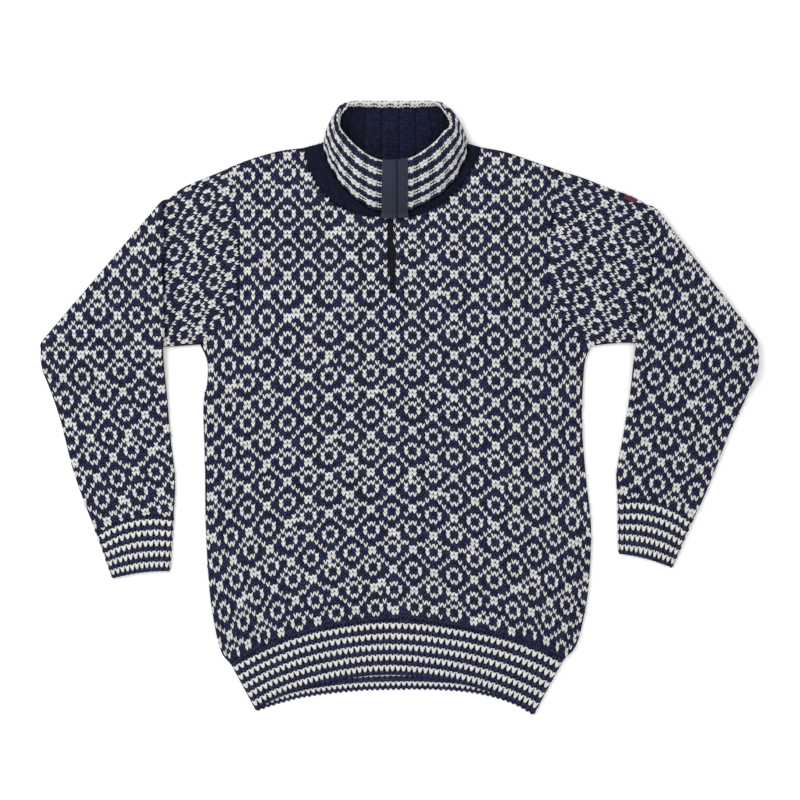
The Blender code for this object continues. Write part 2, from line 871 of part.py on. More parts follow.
def cuff_ring(top, under, seam_bow, gap, inner):
    """One ribbed ring of a cuff, flat on the surface."""
    width = distance(top, under)
    radius = TUBE_TOP / 2
    straight = width - 2.0 * radius
    perimeter = 2.0 * straight + 2.0 * math.pi * radius
    across = Vector((under[0] - top[0], under[1] - top[1])).normalized()
    lengthwise = Vector((-across.y, across.x))
    if lengthwise.y < 0.0:
        lengthwise.negate()
    ring = []
    points = 2 * CUFF_RIBS
    for number in range(points):
        run = perimeter * (number + 0.5) / points
        depth = WALL if inner else RIB_RELIEF * (number % 2)
        thickness = radius - depth
        if run < straight:
            inset = radius + run
            height = radius + thickness
        elif run < straight + math.pi * radius:
            angle = (run - straight) / radius
            inset = width - radius + thickness * math.sin(angle)
            height = radius + thickness * math.cos(angle)
        elif run < 2.0 * straight + math.pi * radius:
            inset = width - radius - (run - straight - math.pi * radius)
            height = radius - thickness
        else:
            angle = (run - 2.0 * straight - math.pi * radius) / radius
            inset = radius - thickness * math.sin(angle)
            height = radius - thickness * math.cos(angle)
        share = inset / width
        lift = seam_lift(share, seam_bow) - gap
        x, y = lerp(top, under, share)
        ring.append((x + lengthwise.x * lift, y + lengthwise.y * lift, height))
    return ring


def make_cuff(side):
    rows = SLEEVES[side]
    start_top, start_under = line_points(rows, len(rows) - 1)
    end = CUFFS[side]
    end_top = (end[0], end[1])
    end_under = (end[2], end[3])
    outer = []
    inner = []
    for share in CUFF_ROWS:
        top = lerp(start_top, end_top, share)
        under = lerp(start_under, end_under, share)
        bow = lerp(end[4], end[5], share)
        gap = SEAM * (1.0 - share)
        outer.append(cuff_ring(top, under, bow, gap, False))
        inner.append(cuff_ring(top, under, bow, gap, True))
    tube("cuff_" + side, outer, inner, STRIPED_RIB)


# ----------------------------------------------------------------------- collar

COLLAR_KEYS = [0.0]
for before_row, after_row in zip(COLLAR, COLLAR[1:] + COLLAR[:1]):
    COLLAR_KEYS.append(COLLAR_KEYS[-1] + 0.5 * distance(before_row[:3], after_row[:3])
                       + 0.5 * distance(before_row[3:6], after_row[3:6]))
COLLAR_LENGTH = COLLAR_KEYS.pop()


def collar_point(turn, share):
    """A point of the collar's outer face, at a turn round the neck and a share up."""
    row = hermite(COLLAR, COLLAR_KEYS, turn, COLLAR_LENGTH)
    base = Vector(row[0:3])
    rim = Vector(row[3:6])
    following = hermite(COLLAR, COLLAR_KEYS, turn + TURN_STEP, COLLAR_LENGTH)
    run = Vector(following[0:3]) + Vector(following[3:6]) - base - rim
    outward = run.cross(rim - base).normalized()
    return base.lerp(rim, share) + outward * (max(row[6], 0.0) * 4.0 * share * (1.0 - share))


def collar_inward(turn, share):
    """Direction into the collar's wall from its outer face."""
    run = collar_point(turn + TURN_STEP, share) - collar_point(turn - TURN_STEP, share)
    above = collar_point(turn, min(share + SHARE_STEP, 1.0))
    below = collar_point(turn, max(share - SHARE_STEP, 0.0))
    return (above - below).cross(run).normalized()


def collar_at(turn, share, depth):
    """A point at a depth inside the collar's outer face, kept above the surface."""
    point = collar_point(turn, share) + collar_inward(turn, share) * depth
    point.z = max(point.z, 0.0)
    return tuple(point)


def turn_at_x(x):
    """The turn at which the collar's front has a given x, next to the zip."""
    low = -SEARCH_REACH
    high = SEARCH_REACH
    for _ in range(SEARCH_STEPS):
        middle = 0.5 * (low + high)
        if collar_point(middle, 0.5).x < x:
            low = middle
        else:
            high = middle
    return 0.5 * (low + high)


def collar_stations():
    """Turns round the collar from the right of the zip to the left, four to a rib."""
    start = turn_at_x(ZIP_TOP_X + ZIP_GAP)
    end = COLLAR_LENGTH + turn_at_x(ZIP_TOP_X - ZIP_GAP)
    count = 4 * COLLAR_RIBS
    return [lerp(start, end, number / (count - 1)) for number in range(count)]


def rib_depth(number, turn):
    """Depth of a 2 x 2 rib at a station, none under the ribbons."""
    under_ribbon = turn < turn_at_x(RIBBON_RIGHT_X[1]) or number >= 4 * COLLAR_RIBS - 2
    if under_ribbon:
        return 0.5 * COLLAR_RELIEF
    return COLLAR_RELIEF * (1.0 if number % 4 in (1, 2) else 0.0)


def make_collar():
    """The striped outer wall, with a rim that rolls over the lining."""
    full = WALL + LINING_GAP + LINING_WALL
    height = distance(collar_point(0.0, 0.0), collar_point(0.0, 1.0))
    rim_share = RIM_ROUND / height
    lip_share = 1.0 - RIM_LIP / height
    profile = [(0.0, 0.0)]
    profile += [(share, 0.0) for share in WALL_SHARES]
    profile += [(1.0 - below * rim_share, depth * full) for below, depth in RIM_SECTION]
    profile += [(lip_share, full), (lip_share, WALL)]
    profile += [(share, WALL) for share in reversed(WALL_SHARES)]
    profile += [(0.0, WALL)]
    sections = []
    for number, turn in enumerate(collar_stations()):
        section = []
        for share, depth in profile:
            valley = rib_depth(number, turn) if depth == 0.0 else 0.0
            section.append(collar_at(turn, share, depth + valley))
        sections.append(section)
    sweep("collar", sections, STRIPED_RIB)


def make_lining():
    """The plain navy rib inside the collar."""
    height = distance(collar_point(0.0, 0.0), collar_point(0.0, 1.0))
    top = 1.0 - (RIM_LIP + 2.0 * LINING_GAP) / height
    outer = WALL + LINING_GAP
    shares = WALL_SHARES + (top,)
    sections = []
    for number, turn in enumerate(collar_stations()):
        valley = LINING_RELIEF if number % 4 in (0, 3) else 0.0
        inner = outer + LINING_WALL - valley
        section = [collar_at(turn, share, outer) for share in shares]
        section += [collar_at(turn, share, inner) for share in reversed(shares)]
        sections.append(section)
    sweep("collar_lining", sections, LINING_RIB)


def ribbon_section(turn_range, crown, share):
    """One cross-section of a ribbon on the collar's outer face."""
    lower = []
    upper = []
    for number in range(RIBBON_POINTS):
        across = number / (RIBBON_POINTS - 1)
        turn = lerp(turn_range[0], turn_range[1], across)
        lift = SEAM + crown * math.sin(math.pi * across)
        lower.append(collar_at(turn, share, -lift))
        upper.append(collar_at(turn, share, -lift - RIBBON_WALL))
    return lower + upper[::-1]


def make_ribbon(name, x_range, crown):
    """A grosgrain strip over the collar's front edge."""
    turns = (turn_at_x(x_range[0]), turn_at_x(x_range[1]))
    sections = [ribbon_section(turns, crown, share) for share in RIBBON_ROWS]
    sweep(name, sections, GROSGRAIN)


# -------------------------------------------------------------------- neck band

def shoulder_turn(side):
    """The turn at which the shoulder line meets the collar."""
    corner = 6 if side == "right" else 15
    return lerp(COLLAR_KEYS[corner], COLLAR_KEYS[corner + 1], 0.5)


def make_front_band(side):
    """The navy rib between the front panel and the collar, on one side of the zip."""
    coarse = neck_line(side)
    count = round(chord_keys(coarse)[-1] / BAND_RIB_STEP) + 1
    seam_line = [along(coarse, number / (count - 1)) for number in range(count)]
    sign = -1.0 if side == "left" else 1.0
    zip_turn = turn_at_x(ZIP_TOP_X + sign * SLIT_HALF)
    side_turn = shoulder_turn(side)
    if side == "left":
        side_turn -= COLLAR_LENGTH
    upper = []
    lower = []
    for share in BAND_ROWS:
        upper_row = []
        lower_row = []
        for number in range(count):
            turn = lerp(zip_turn, side_turn, number / (count - 1))
            base = collar_point(turn, 0.0)
            outward = -collar_inward(turn, 0.0)
            outward.z = 0.0
            outward.normalize()
            inner = base + outward * SEAM * 2.0
            edge = seam_line[number]
            x, y = lerp(edge, (inner.x, inner.y), share)
            high = lerp(FRONT_LOW + WALL, max(base.z, FRONT_LOW + EDGE_LIP + BAND_LEAST), share)
            end_share = round_share((count - 1 - number) * BAND_RIB_STEP)
            low = max(high - WALL, FRONT_LOW)
            valley = 0.5 * RIB_RELIEF * (number % 2)
            high = low + EDGE_LIP + (high - low - EDGE_LIP - valley) * end_share
            upper_row.append((x, y, high))
            lower_row.append((x, y, low))
        upper.append(upper_row)
        lower.append(lower_row)
    slab("neck_band_" + side, upper, lower, NAVY_KNIT)


def make_back_band():
    """The hidden part of the band round the back of the neck."""
    seam_line = back_neck_line()[::-1]
    count = len(seam_line)
    start = shoulder_turn("right")
    end = shoulder_turn("left")
    upper = []
    lower = []
    for share in (0.0, 1.0):
        upper_row = []
        lower_row = []
        for number in range(count):
            turn = lerp(start, end, number / (count - 1))
            base = collar_point(turn, 0.0)
            x, y = lerp(seam_line[number], (base.x, base.y - 2.0 * SEAM), share)
            upper_row.append((x, y, WALL))
            lower_row.append((x, y, 0.0))
        upper.append(upper_row)
        lower.append(lower_row)
    slab("neck_band_back", upper, lower, NAVY_KNIT)


# ---------------------------------------------------------------- zip and tab

def panel_height_at_zip():
    """Underside of the front panel next to the slit."""
    return FRONT_LOW + FRONT_PUFF


def make_zip_tape(side):
    """One tape of the zip under the front panel."""
    sign = -1.0 if side == "left" else 1.0
    top = panel_height_at_zip() - SEAM
    upper = []
    lower = []
    for y in (SLIT_TOP_Y - TAPE_NECK, lerp(SLIT_TOP_Y, SLIT_END_Y, 0.5), SLIT_END_Y - TAPE_FOOT):
        near = zip_x(y) + sign * SEAM
        far = near + sign * TAPE_WIDTH
        upper.append([(near, y, top), (far, y, top)])
        lower.append([(near, y, top - TAPE_WALL), (far, y, top - TAPE_WALL)])
    slab("zip_tape_" + side, upper, lower, ZIP_TAPE)


def zip_path():
    """Middle line of the coil: along the slit and up the front of the collar."""
    bed = panel_height_at_zip()
    path = []
    last = COIL_STATIONS - 1
    for number in range(COIL_STATIONS):
        y = lerp(SLIT_END_Y + COIL_FOOT, SLIT_TOP_Y - COIL_NECK, number / last)
        path.append((Vector((zip_x(y), y, bed + 0.5 * COIL_HEIGHT)), Vector((0.0, 0.0, 1.0))))
    for number in range(COIL_STATIONS):
        share = lerp(COIL_RISE[0], COIL_RISE[1], number / last)
        inward = collar_inward(0.0, share)
        path.append((collar_point(0.0, share) + inward * (SEAM + 0.5 * COIL_HEIGHT), -inward))
    return path


def make_zip_coil():
    sections = []
    for centre, out in zip_path():
        section = []
        for across, rise in COIL_SECTION:
            point = centre + out * (rise * COIL_HEIGHT)
            point.x += across * COIL_HALF_WIDTH
            section.append(tuple(point))
        sections.append(section)
    sweep("zip_coil", sections, ZIP_COIL)


def make_zip_slider():
    """The slider at the top of the closed zip, behind the ribbon."""
    sections = []
    for share, half in SLIDER_ROWS:
        inward = collar_inward(0.0, share)
        section = []
        for across, depth in ((-1.0, SEAM), (1.0, SEAM), (1.0, SLIDER_DEPTH), (-1.0, SLIDER_DEPTH)):
            point = collar_point(0.0, share) + inward * depth
            point.x += across * half
            section.append(tuple(point))
        sections.append(section)
    sweep("zip_slider", sections, SLIDER_METAL)


def make_sleeve_tab():
    """A small folded tape caught in the top fold of the right sleeve."""
    before = Vector(SLEEVES["right"][2][1:3] + (TUBE_TOP / 2,))
    after = Vector(SLEEVES["right"][3][1:3] + (TUBE_TOP / 2,))
    lengthwise = (after - before).normalized()
    out = Vector((-lengthwise.y, lengthwise.x, 0.0))
    centre = before.lerp(after, TAB_PLACE) + out * SEAM
    sections = []
    for reach, half in TAB_ROWS:
        section = []
        for across, rise in ((-1.0, -half), (1.0, -half), (1.0, half), (-1.0, half)):
            point = centre + lengthwise * (across * TAB_HALF_LENGTH) + out * reach
            point.z += rise
            section.append(tuple(point))
        sections.append(section)
    sweep("sleeve_tab", sections, TAB_TAPE)


def build():
    """Make every piece of the sweater."""
    clear_scene()
    make_back_panel()
    make_front_panel()
    make_hem("back_hem_rib", 2, 0.0, False)
    make_hem("front_hem_rib", 1, FRONT_LOW, True)
    for side in ("left", "right"):
        make_sleeve(side)
        make_cuff(side)
        make_front_band(side)
        make_zip_tape(side)
    make_back_band()
    make_collar()
    make_lining()
    make_ribbon("ribbon_left", RIBBON_LEFT_X, RIBBON_CROWN)
    make_ribbon("ribbon_right", RIBBON_RIGHT_X, RIBBON_FLAT * RIBBON_CROWN)
    make_zip_coil()
    make_zip_slider()
    make_sleeve_tab()


build()
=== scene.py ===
"""Looks of a half-zip stranded-knit sweater that lies flat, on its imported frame.

Sizes are in millimetres until a mesh is made. +Y runs from the hem to the collar,
+X to the right as seen from above, and +Z up out of the front.
"""

import math

import bpy
import numpy as np
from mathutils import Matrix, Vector
from mathutils.bvhtree import BVHTree
from mathutils.geometry import delaunay_2d_cdt


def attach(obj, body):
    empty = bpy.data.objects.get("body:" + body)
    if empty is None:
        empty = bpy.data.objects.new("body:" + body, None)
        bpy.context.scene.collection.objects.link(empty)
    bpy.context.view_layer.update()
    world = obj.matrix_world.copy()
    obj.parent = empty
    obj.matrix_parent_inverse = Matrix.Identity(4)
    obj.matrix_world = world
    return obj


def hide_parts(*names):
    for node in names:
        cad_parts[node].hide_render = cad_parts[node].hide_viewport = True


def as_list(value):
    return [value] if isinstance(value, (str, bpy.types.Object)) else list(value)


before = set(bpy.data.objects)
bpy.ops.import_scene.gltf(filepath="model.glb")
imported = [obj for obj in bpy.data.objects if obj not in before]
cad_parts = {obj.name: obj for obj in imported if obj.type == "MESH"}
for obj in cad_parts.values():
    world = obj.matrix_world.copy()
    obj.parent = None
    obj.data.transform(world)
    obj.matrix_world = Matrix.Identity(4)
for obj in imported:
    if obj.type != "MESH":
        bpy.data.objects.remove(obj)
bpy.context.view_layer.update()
RANDOM = np.random.default_rng(11)

# ---------------------------------------------------------------- sizes and tables

MM = 0.001
SIDES = ("left", "right")

WALL = 3.0             # thickness of the knit
SEAM = 0.3             # gap between pieces at every seam
EDGE_LIP = 0.9         # thickness left at the outermost line of a side fold
EDGE_ROUND = 4.5       # distance over which a side fold rounds off
FOLD_INSETS = (1.0, 2.4, EDGE_ROUND)   # lines of points beside such a fold
FRONT_LOW = 3.6        # underside of the front panel next to its edges
FRONT_PUFF = 1.6       # how much more it lifts away from them
PUFF_REACH = 45.0      # distance over which it lifts
CREASE_START = 12.0    # distance from an edge at which creases are full
FINE = 6.0             # mesh size along an outline
GRID = 7.0             # mesh size inside a panel
SKIN = 0.9             # the cloth's ground lies this far inside the solid's face
YARN = 1.5             # how far a stitch stands up from the ground
STITCH_WIDE = 5.50
STITCH_HIGH = 5.42
HEM_NAVY = 7.5         # the last rows before the hem stay navy
RIB_RELIEF = 1.1       # depth of the valleys of a rib
RIB_LENGTH = 72.0
HEM_RIBS = 54
CUFF_RIBS = 26
RIB_ROWS = np.concatenate([np.linspace(0.0, 0.9, 9), (0.94, 0.97, 0.99, 1.0)])

ROLL_CENTRE = 7.0      # height of the line that a folded sleeve turns about
FOLD_STEPS = 6         # half the rings through the fold
DROP_START = 50.0      # Y at which a lower sleeve leaves the upper one
DROP_LENGTH = 46.0     # Y over which it comes down to the surface
TUBE_TOP = 2 * WALL + 2 * SEAM   # height of a flattened tube

COLLAR_RIBS = 20       # 2 x 2 ribs round the collar
COLLAR_RELIEF = 1.8
LINING_GAP = 0.6
LINING_WALL = 2.4
LINING_FOOT = -0.05    # how far it reaches down past the collar's base, as a share
COLLAR_FULL = WALL + LINING_GAP + LINING_WALL
RIM_LIP = 7.0          # how far the rim rolls down inside
RIM_ROUND = 2.6
RIM_BACK_Y = 385.0     # behind this line the rim's first courses are navy
RIM_ROLL = 3.6         # how far the rim's soft roll stands in past the lining
# Lining stitches outside this part take a darker copy of the lining wool, as painted shade.
LINING_LIT_X = (-48.0, 36.0)     # the part of the lining that the light reaches

ZIP_GAP = 5.0          # half the gap between the collar's front edges
SLIT_HALF = 3.0        # half the slit in the front panel
ZIP_TOP_X = -12.0      # the zip's middle line at the neck
ZIP_END_X = -8.6       # and at the foot of the slit
SLIT_TOP_Y = 251.0
SLIT_END_Y = 151.0
COIL_PITCH = 1.35
RIBBON_WALL = 1.1
RIBBONS = {
    # side: from x, to x, crown, fine ribs
    "left": (-23.4, -3.8, 1.6, 6),
    "right": (-2.5, 11.2, 0.64, 5),
}
TAB_PLACE = [(297.4, 280.9), (314.0, 273.5), (311.0, 268.4), (295.8, 275.2)]
TAB_WALL = 0.8
TAB_LIFT = 1.5         # the tab lies on the tips of the stitches

SIDE = [
    # left x, left y, right x, right y
    (-263, 82, 253, 80),
    (-254, 60, 246, 64),
    (-254, 32, 243, 38),
    (-259, 5, 241, -18),
    (-257, -75, 246, -90),
    (-256, -156, 253, -158),
    (-251, -242, 250, -236),
    (-244, -290, 242, -285),
    (-235, -325, 232, -318),
    (-222, -341, 216, -335),
]
ARMHOLE = [
    # left x, left y, right x, right y
    (-225, 316, 212, 312),
    (-218, 262, 203, 254),
    (-212, 200, 196, 190),
    (-214, 150, 200, 140),
    (-232, 114, 220, 108),
    (-263, 82, 253, 80),
]
SHOULDER = [
    # left x, left y, right x, right y
    (-127, 342, 107, 343),
    (-158, 338, 139, 337),
    (-197, 327, 177, 324),
    (-225, 316, 212, 312),
]
NECKLINE = [
    # left x, left y, right x, right y
    (-15, 251, -9, 251),
    (-34, 252, 14, 252),
    (-58, 257, 36, 259),
    (-86, 269, 59, 270),
    (-106, 290, 78, 288),
    (-119, 314, 95, 314),
    (-127, 342, 107, 343),
]
BACK_NECKLINE = [
    # x, y
    (-127, 342),
    (-96, 322),
    (-56, 304),
    (-6, 297),
    (42, 304),
    (78, 322),
    (107, 343),
]
HEM_TOP = [
    # x, y
    (-222, -341),
    (-178, -319),
    (-129, -300),
    (-60, -286),
    (0, -282),
    (70, -290),
    (140, -305),
    (184, -320),
    (216, -335),
]
HEM_END = [
    # x, front y, back y
    (-190, -400, -401),
    (-160, -384, -391),
    (-129, -373, -383),
    (-70, -359, -375),
    (-10, -354, -372),
    (60, -361, -373),
    (110, -374, -379),
    (150, -390, -391),
    (178, -404, -406),
]
SLEEVES = {
    "left": [
        # line, top x, top y, underarm x, underarm y
        ("upper", -225, 316, -263, 82),
        ("upper", -254, 304, -310, 79),
        ("upper", -276, 295, -372, 80),
        ("upper", -292, 286, -432, 83),
        ("in", -304, 275, -467, 84),
        ("out", -311, 265, -473, 75),
        ("lower", -311, 225, -473, 60),
        ("lower", -311, 172, -470, 45),
        ("lower", -311, 120, -463, 26),
        ("lower", -311, 88, -458, 11),
        ("lower", -310, 58, -453, -4),
        ("lower", -307, 22, -446, -27),
        ("lower", -302, -40, -433, -80),
        ("lower", -296, -98, -415, -132),
        ("cuff", -298, -148, -400, -169),
    ],
    "right": [
        # line, top x, top y, underarm x, underarm y
        ("upper", 212, 312, 253, 80),
        ("upper", 240, 304, 292, 84),
        ("upper", 278, 289, 352, 83),
        ("upper", 306, 279, 418, 83),
        ("in", 327, 267, 466, 87),
        ("out", 334, 257, 472, 78),
        ("lower", 333, 214, 474, 60),
        ("lower", 330, 168, 471, 42),
        ("lower", 321, 126, 462, 22),
        ("lower", 313, 92, 455, 4),
        ("lower", 308, 62, 447, -12),
        ("lower", 304, 18, 436, -36),
        ("lower", 295, -38, 419, -80),
        ("lower", 286, -92, 401, -124),
        ("cuff", 288, -126, 387, -152),
    ],
}
CUFFS = {
    # side: top x, top y, underarm x, underarm y, bow of the seam, bow of the end
    "left": (-303, -217, -380, -227, 11.0, 3.0),
    "right": (289, -194, 361, -213, 12.0, 3.0),
}
COLLAR = [
    # base x, base y, base z, rim x, rim y, rim z, bulge
    (-12, 256, 12.0, -12, 322, 36, 6),
    (13, 258, 12.0, 13, 325, 36, 6),
    (34, 267, 12.0, 29, 333, 36, 6),
    (56, 281, 12.0, 46, 346, 35, 7),
    (76, 302, 12.0, 60, 362, 32, 7),
    (87, 325, 12.5, 67, 368, 28, 6),
    (90, 342, 10.0, 69, 384, 21, 4),
    (86, 351, 5.0, 65, 396, 12, 3),
    (75, 346, 1.2, 57, 402, 4, 1),
    (55, 333, 0.0, 42, 404, 0, 0),
    (30, 323, 0.0, 26, 404, 0, 0),
    (-6, 319, 0.0, -6, 404, 0, 0),
    (-42, 323, 0.0, -38, 404, 0, 0),
    (-69, 333, 0.0, -57, 404, 0, 0),
    (-91, 347, 1.2, -73, 402, 4, 1),
    (-98, 352, 5.0, -79, 397, 12, 4),
    (-100, 343, 10.0, -81, 386, 21, 6),
    (-96, 325, 12.5, -79, 369, 28, 7),
    (-83, 300, 12.0, -68, 353, 32, 7),
    (-64, 278, 12.0, -53, 338, 35, 7),
    (-44, 264, 12.0, -39, 328, 36, 6),
    (-28, 257, 12.0, -26, 323, 36, 6),
]

# Soft creases in the cloth: a line from one point to another, its width, and its
# height, below zero for a trough.
CREASES = [
    # x, y, to x, to y, width, height
    (-248, 96, -150, 176, 20, -1.3),
    (-244, 66, -140, 120, 17, 0.9),
    (236, 92, 150, 160, 20, -1.2),
    (232, 58, 128, 96, 18, 0.8),
    (-222, 250, -160, 296, 18, 0.9),
    (200, 244, 150, 292, 18, 0.8),
    (-120, 40, -70, -60, 30, -0.8),
    (70, 10, 118, -96, 32, -0.7),
    (-30, 90, 30, -10, 34, 0.6),
    (-190, -60, -140, -160, 26, 0.8),
    (186, -70, 150, -176, 26, 0.7),
    (-186, -300, -196, -236, 12, 1.2),
    (-146, -292, -152, -238, 12, -1.0),
    (-104, -284, -106, -232, 12, 1.1),
    (-62, -276, -60, -226, 13, -0.8),
    (-20, -272, -18, -224, 12, 1.0),
    (26, -274, 28, -226, 13, -0.8),
    (70, -280, 68, -228, 12, 1.1),
    (112, -290, 116, -236, 12, -0.9),
    (156, -302, 164, -244, 12, 1.2),
    (196, -312, 206, -258, 11, -0.9),
    (-236, 236, -292, 250, 13, 0.8),
    (-230, 180, -300, 190, 16, -1.0),
    (-244, 120, -300, 136, 15, 0.9),
    (222, 230, 300, 246, 14, 0.8),
    (214, 168, 310, 176, 16, -1.0),
    (236, 112, 306, 124, 14, 0.9),
    (-318, 112, -404, 148, 15, -1.1),
    (-316, 70, -412, 84, 15, 1.0),
    (-314, 34, -396, 30, 16, -1.0),
    (-312, -20, -384, -34, 18, 0.7),
    (-400, 140, -440, 60, 20, 0.7),
    (-330, 180, -372, 226, 18, 0.6),
    (330, 130, 412, 158, 15, -1.1),
    (320, 84, 414, 90, 15, 1.0),
    (312, 46, 398, 36, 16, -1.0),
    (302, -10, 384, -24, 18, 0.7),
    (402, 142, 444, 56, 20, 0.7),
    (346, 190, 378, 220, 18, 0.6),
    (-305, 276, -305, 172, 13, -2.0),
    (-305, 192, -305, 80, 13, -2.0),
    (311, 80, 323, 178, 13, -2.0),
    (321, 160, 331, 262, 13, -2.0),
]


# ---------------------------------------------------------------------- geometry

def unit(vectors):
    length = np.linalg.norm(vectors, axis=-1, keepdims=True)
    return vectors / np.maximum(length, 1e-9)


def ease(share):
    share = np.clip(share, 0.0, 1.0)
    return share * share * (3.0 - 2.0 * share)


def wave(turns):
    """A smooth wave between 1 at whole turns and 0 half-way."""
    return 0.5 + 0.5 * np.cos(2.0 * math.pi * turns)


def round_share(edge, reach=EDGE_ROUND):
    """How far a rounded edge has risen at a distance from it."""
    share = np.clip(edge / reach, 0.0, 1.0)
    return np.sqrt(np.maximum(1.0 - (1.0 - share) ** 2, 0.0))


def lerp(first, second, share):
    return first + (second - first) * share


def chord_keys(points):
    steps = np.linalg.norm(np.diff(points, axis=0), axis=1)
    return np.concatenate([[0.0], np.cumsum(steps)])


def along(line, keys, places):
    """Points on a polyline at places along its keys."""
    return np.column_stack([np.interp(places, keys, values) for values in line.T])


def curve_at(rows, keys, places, closed=None):
    """Smooth values of a table of rows at places along its keys."""
    rows = np.asarray(rows, float)
    keys = np.asarray(keys, float)
    places = np.atleast_1d(np.asarray(places, float))
    if closed is None:
        table = np.vstack([rows[:1], rows, rows[-1:]])
        marks = np.concatenate([keys[:1], keys, keys[-1:]])
        last = len(rows) - 2
    else:
        places = places % closed
        table = np.vstack([rows[-1:], rows, rows[:2]])
        marks = np.concatenate([[keys[-1] - closed], keys, [closed, closed + keys[1]]])
        last = len(rows) - 1
    index = np.clip(np.searchsorted(keys, places, side="right") - 1, 0, last)
    span = (marks[index + 2] - marks[index + 1])[:, None]
    share = np.clip((places - marks[index + 1])[:, None] / span, 0.0, 1.0)
    slope = (table[index + 2] - table[index]) / (marks[index + 2] - marks[index])[:, None] * span
    after = ((table[index + 3] - table[index + 1])
             / (marks[index + 3] - marks[index + 1])[:, None] * span)
    square = share * share
    cube = square * share
    return ((2 * cube - 3 * square + 1) * table[index + 1] + (cube - 2 * square + share) * slope
            + (3 * square - 2 * cube) * table[index + 2] + (cube - square) * after)


def resample(points, step):
    """A smooth curve through the points, as a polyline of nearly even steps."""
    points = np.asarray(points, float)
    keys = chord_keys(points)
    count = max(2, math.ceil(keys[-1] / step) + 1)
    return curve_at(points, keys, np.linspace(0.0, keys[-1], count))


def line_distance(places, line):
    """Shortest distance from each place to a polyline."""
    best = np.full(len(places), 1e9)
    for start, end in zip(line[:-1], line[1:]):
        run = end - start
        share = np.clip(((places - start) @ run) / max(float(run @ run), 1e-9), 0.0, 1.0)
        gap = places - start - share[:, None] * run
        best = np.minimum(best, np.hypot(gap[:, 0], gap[:, 1]))
    return best


def nearest(places, lines):
    return np.min([line_distance(places, line) for line in lines], axis=0)


def inside(places, outline):
    """Whether each place lies inside a closed outline."""
    result = np.zeros(len(places), bool)
    for start, end in zip(outline, np.roll(outline, 1, axis=0)):
        if start[1] == end[1]:
            continue
        spans = (start[1] > places[:, 1]) != (end[1] > places[:, 1])
        cross = (end[0] - start[0]) * (places[:, 1] - start[1]) / (end[1] - start[1]) + start[0]
        result ^= spans & (places[:, 0] < cross)
    return result


def shifted(points, amount):
    """A polyline moved sideways to its right."""
    run = unit(np.gradient(points, axis=0))
    return points + amount * np.column_stack([run[:, 1], -run[:, 0]])


def crease(places, gain=1.0):
    """Height of the soft creases at each place."""
    total = np.zeros(len(places))
    for x, y, to_x, to_y, width, height in CREASES:
        start = np.array((x, y), float)
        run = np.array((to_x, to_y), float) - start
        length = np.linalg.norm(run)
        place = (places - start) @ run / length ** 2
        gap = places - start - place[:, None] * run
        bend = 0.08 * length * np.sin(math.pi * np.clip(place, 0.0, 1.0))
        side = (gap @ np.array((-run[1], run[0]))) / length - bend
        fade = ease(place / 0.35) * ease((1.0 - place) / 0.35)
        total += gain * height * fade * np.exp(-(side / (0.6 * width)) ** 2)
    return total


def only(arrays, keep):
    """The same choice of entries from several arrays."""
    return [values[keep] for values in arrays]


# ------------------------------------------------------------------------ meshes

def make_mesh(name, points, groups):
    """A smooth mesh from points in millimetres and arrays of faces."""
    mesh = bpy.data.meshes.new(name)
    mesh.vertices.add(len(points))
    mesh.vertices.foreach_set("co", (np.asarray(points) * MM).astype(np.float32).ravel())
    groups = [np.asarray(group) for group in groups]
    loops = np.concatenate([group.ravel() for group in groups]).astype(np.int32)
    sizes = np.concatenate([np.full(len(group), group.shape[1]) for group in groups])
    mesh.loops.add(len(loops))
    mesh.loops.foreach_set("vertex_index", loops)
    mesh.polygons.add(len(sizes))
    starts = np.concatenate([[0], np.cumsum(sizes)[:-1]]).astype(np.int32)
    mesh.polygons.foreach_set("loop_start", starts)
    mesh.update(calc_edges=True)
    mesh.validate()
    mesh.shade_smooth()
    return mesh


def add_object(name, data):
    thing = bpy.data.objects.new(name, data)
    bpy.context.scene.collection.objects.link(thing)
    return thing


def piece(name, points, groups, material, replaced=()):
    """A new piece of the sweater that rides on its one body."""
    thing = add_object(name, make_mesh(name, points, groups))
    thing.data.materials.append(material)
    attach(thing, "root")
    if replaced:
        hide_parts(*replaced)
    return thing


def grid_quads(rows, columns, closed=False):
    row = np.arange(rows - 1)[:, None]
    column = np.arange(columns if closed else columns - 1)[None, :]
    near = row * columns + column
    near_next = row * columns + (column + 1) % columns
    quads = np.stack([near, near_next, near_next + columns, near + columns], axis=-1)
    return quads.reshape(-1, 4)


def wall_groups(outer, size):
    """Faces of a closed wall: the outer face, the inner face and the rim between them."""
    sides = {}
    for face in outer.tolist():
        for first, second in zip(face, face[1:] + face[:1]):
            sides[first, second] = True
    rim = [(second, first, first + size, second + size)
           for first, second in sides if (second, first) not in sides]
    return [outer, outer[:, ::-1] + size, np.array(rim)]


def wall(name, outer, inner, columns, material, replaced, closed=False, flip=False):
    """A piece of cloth between two grids of points."""
    groups = wall_groups(grid_quads(len(outer) // columns, columns, closed), len(outer))
    if flip:
        groups = [group[:, ::-1] for group in groups]
    return piece(name, np.vstack([outer, inner]), groups, material, (replaced,))


def tree_of(points, faces):
    return BVHTree.FromPolygons([tuple(point) for point in points.tolist()], faces.tolist())


def grid_on(surface, u, v):
    """Points of a surface function on a grid of places."""
    over_u, over_v = np.meshgrid(u, v)
    return surface(over_u.ravel(), over_v.ravel())


# ---------------------------------------------------------------------- stitches

# A stitch leg from its tip to its head: place along it, share of its width, and
# share of its height.
LEG = [(-0.30, 0.72, 0.74), (0.06, 1.0, 1.0), (0.34, 0.80, 0.80)]
PLAIN_LEG = [(-0.22, 0.88, 0.84), (0.26, 0.92, 0.92)]
SINK = -0.35            # depth of a leg's foot below the ground, as a share of its height
CREAM_YARN = 1.15       # how much higher the off-white stitches stand
CREAM_FULL = 1.16       # and how much fuller they are


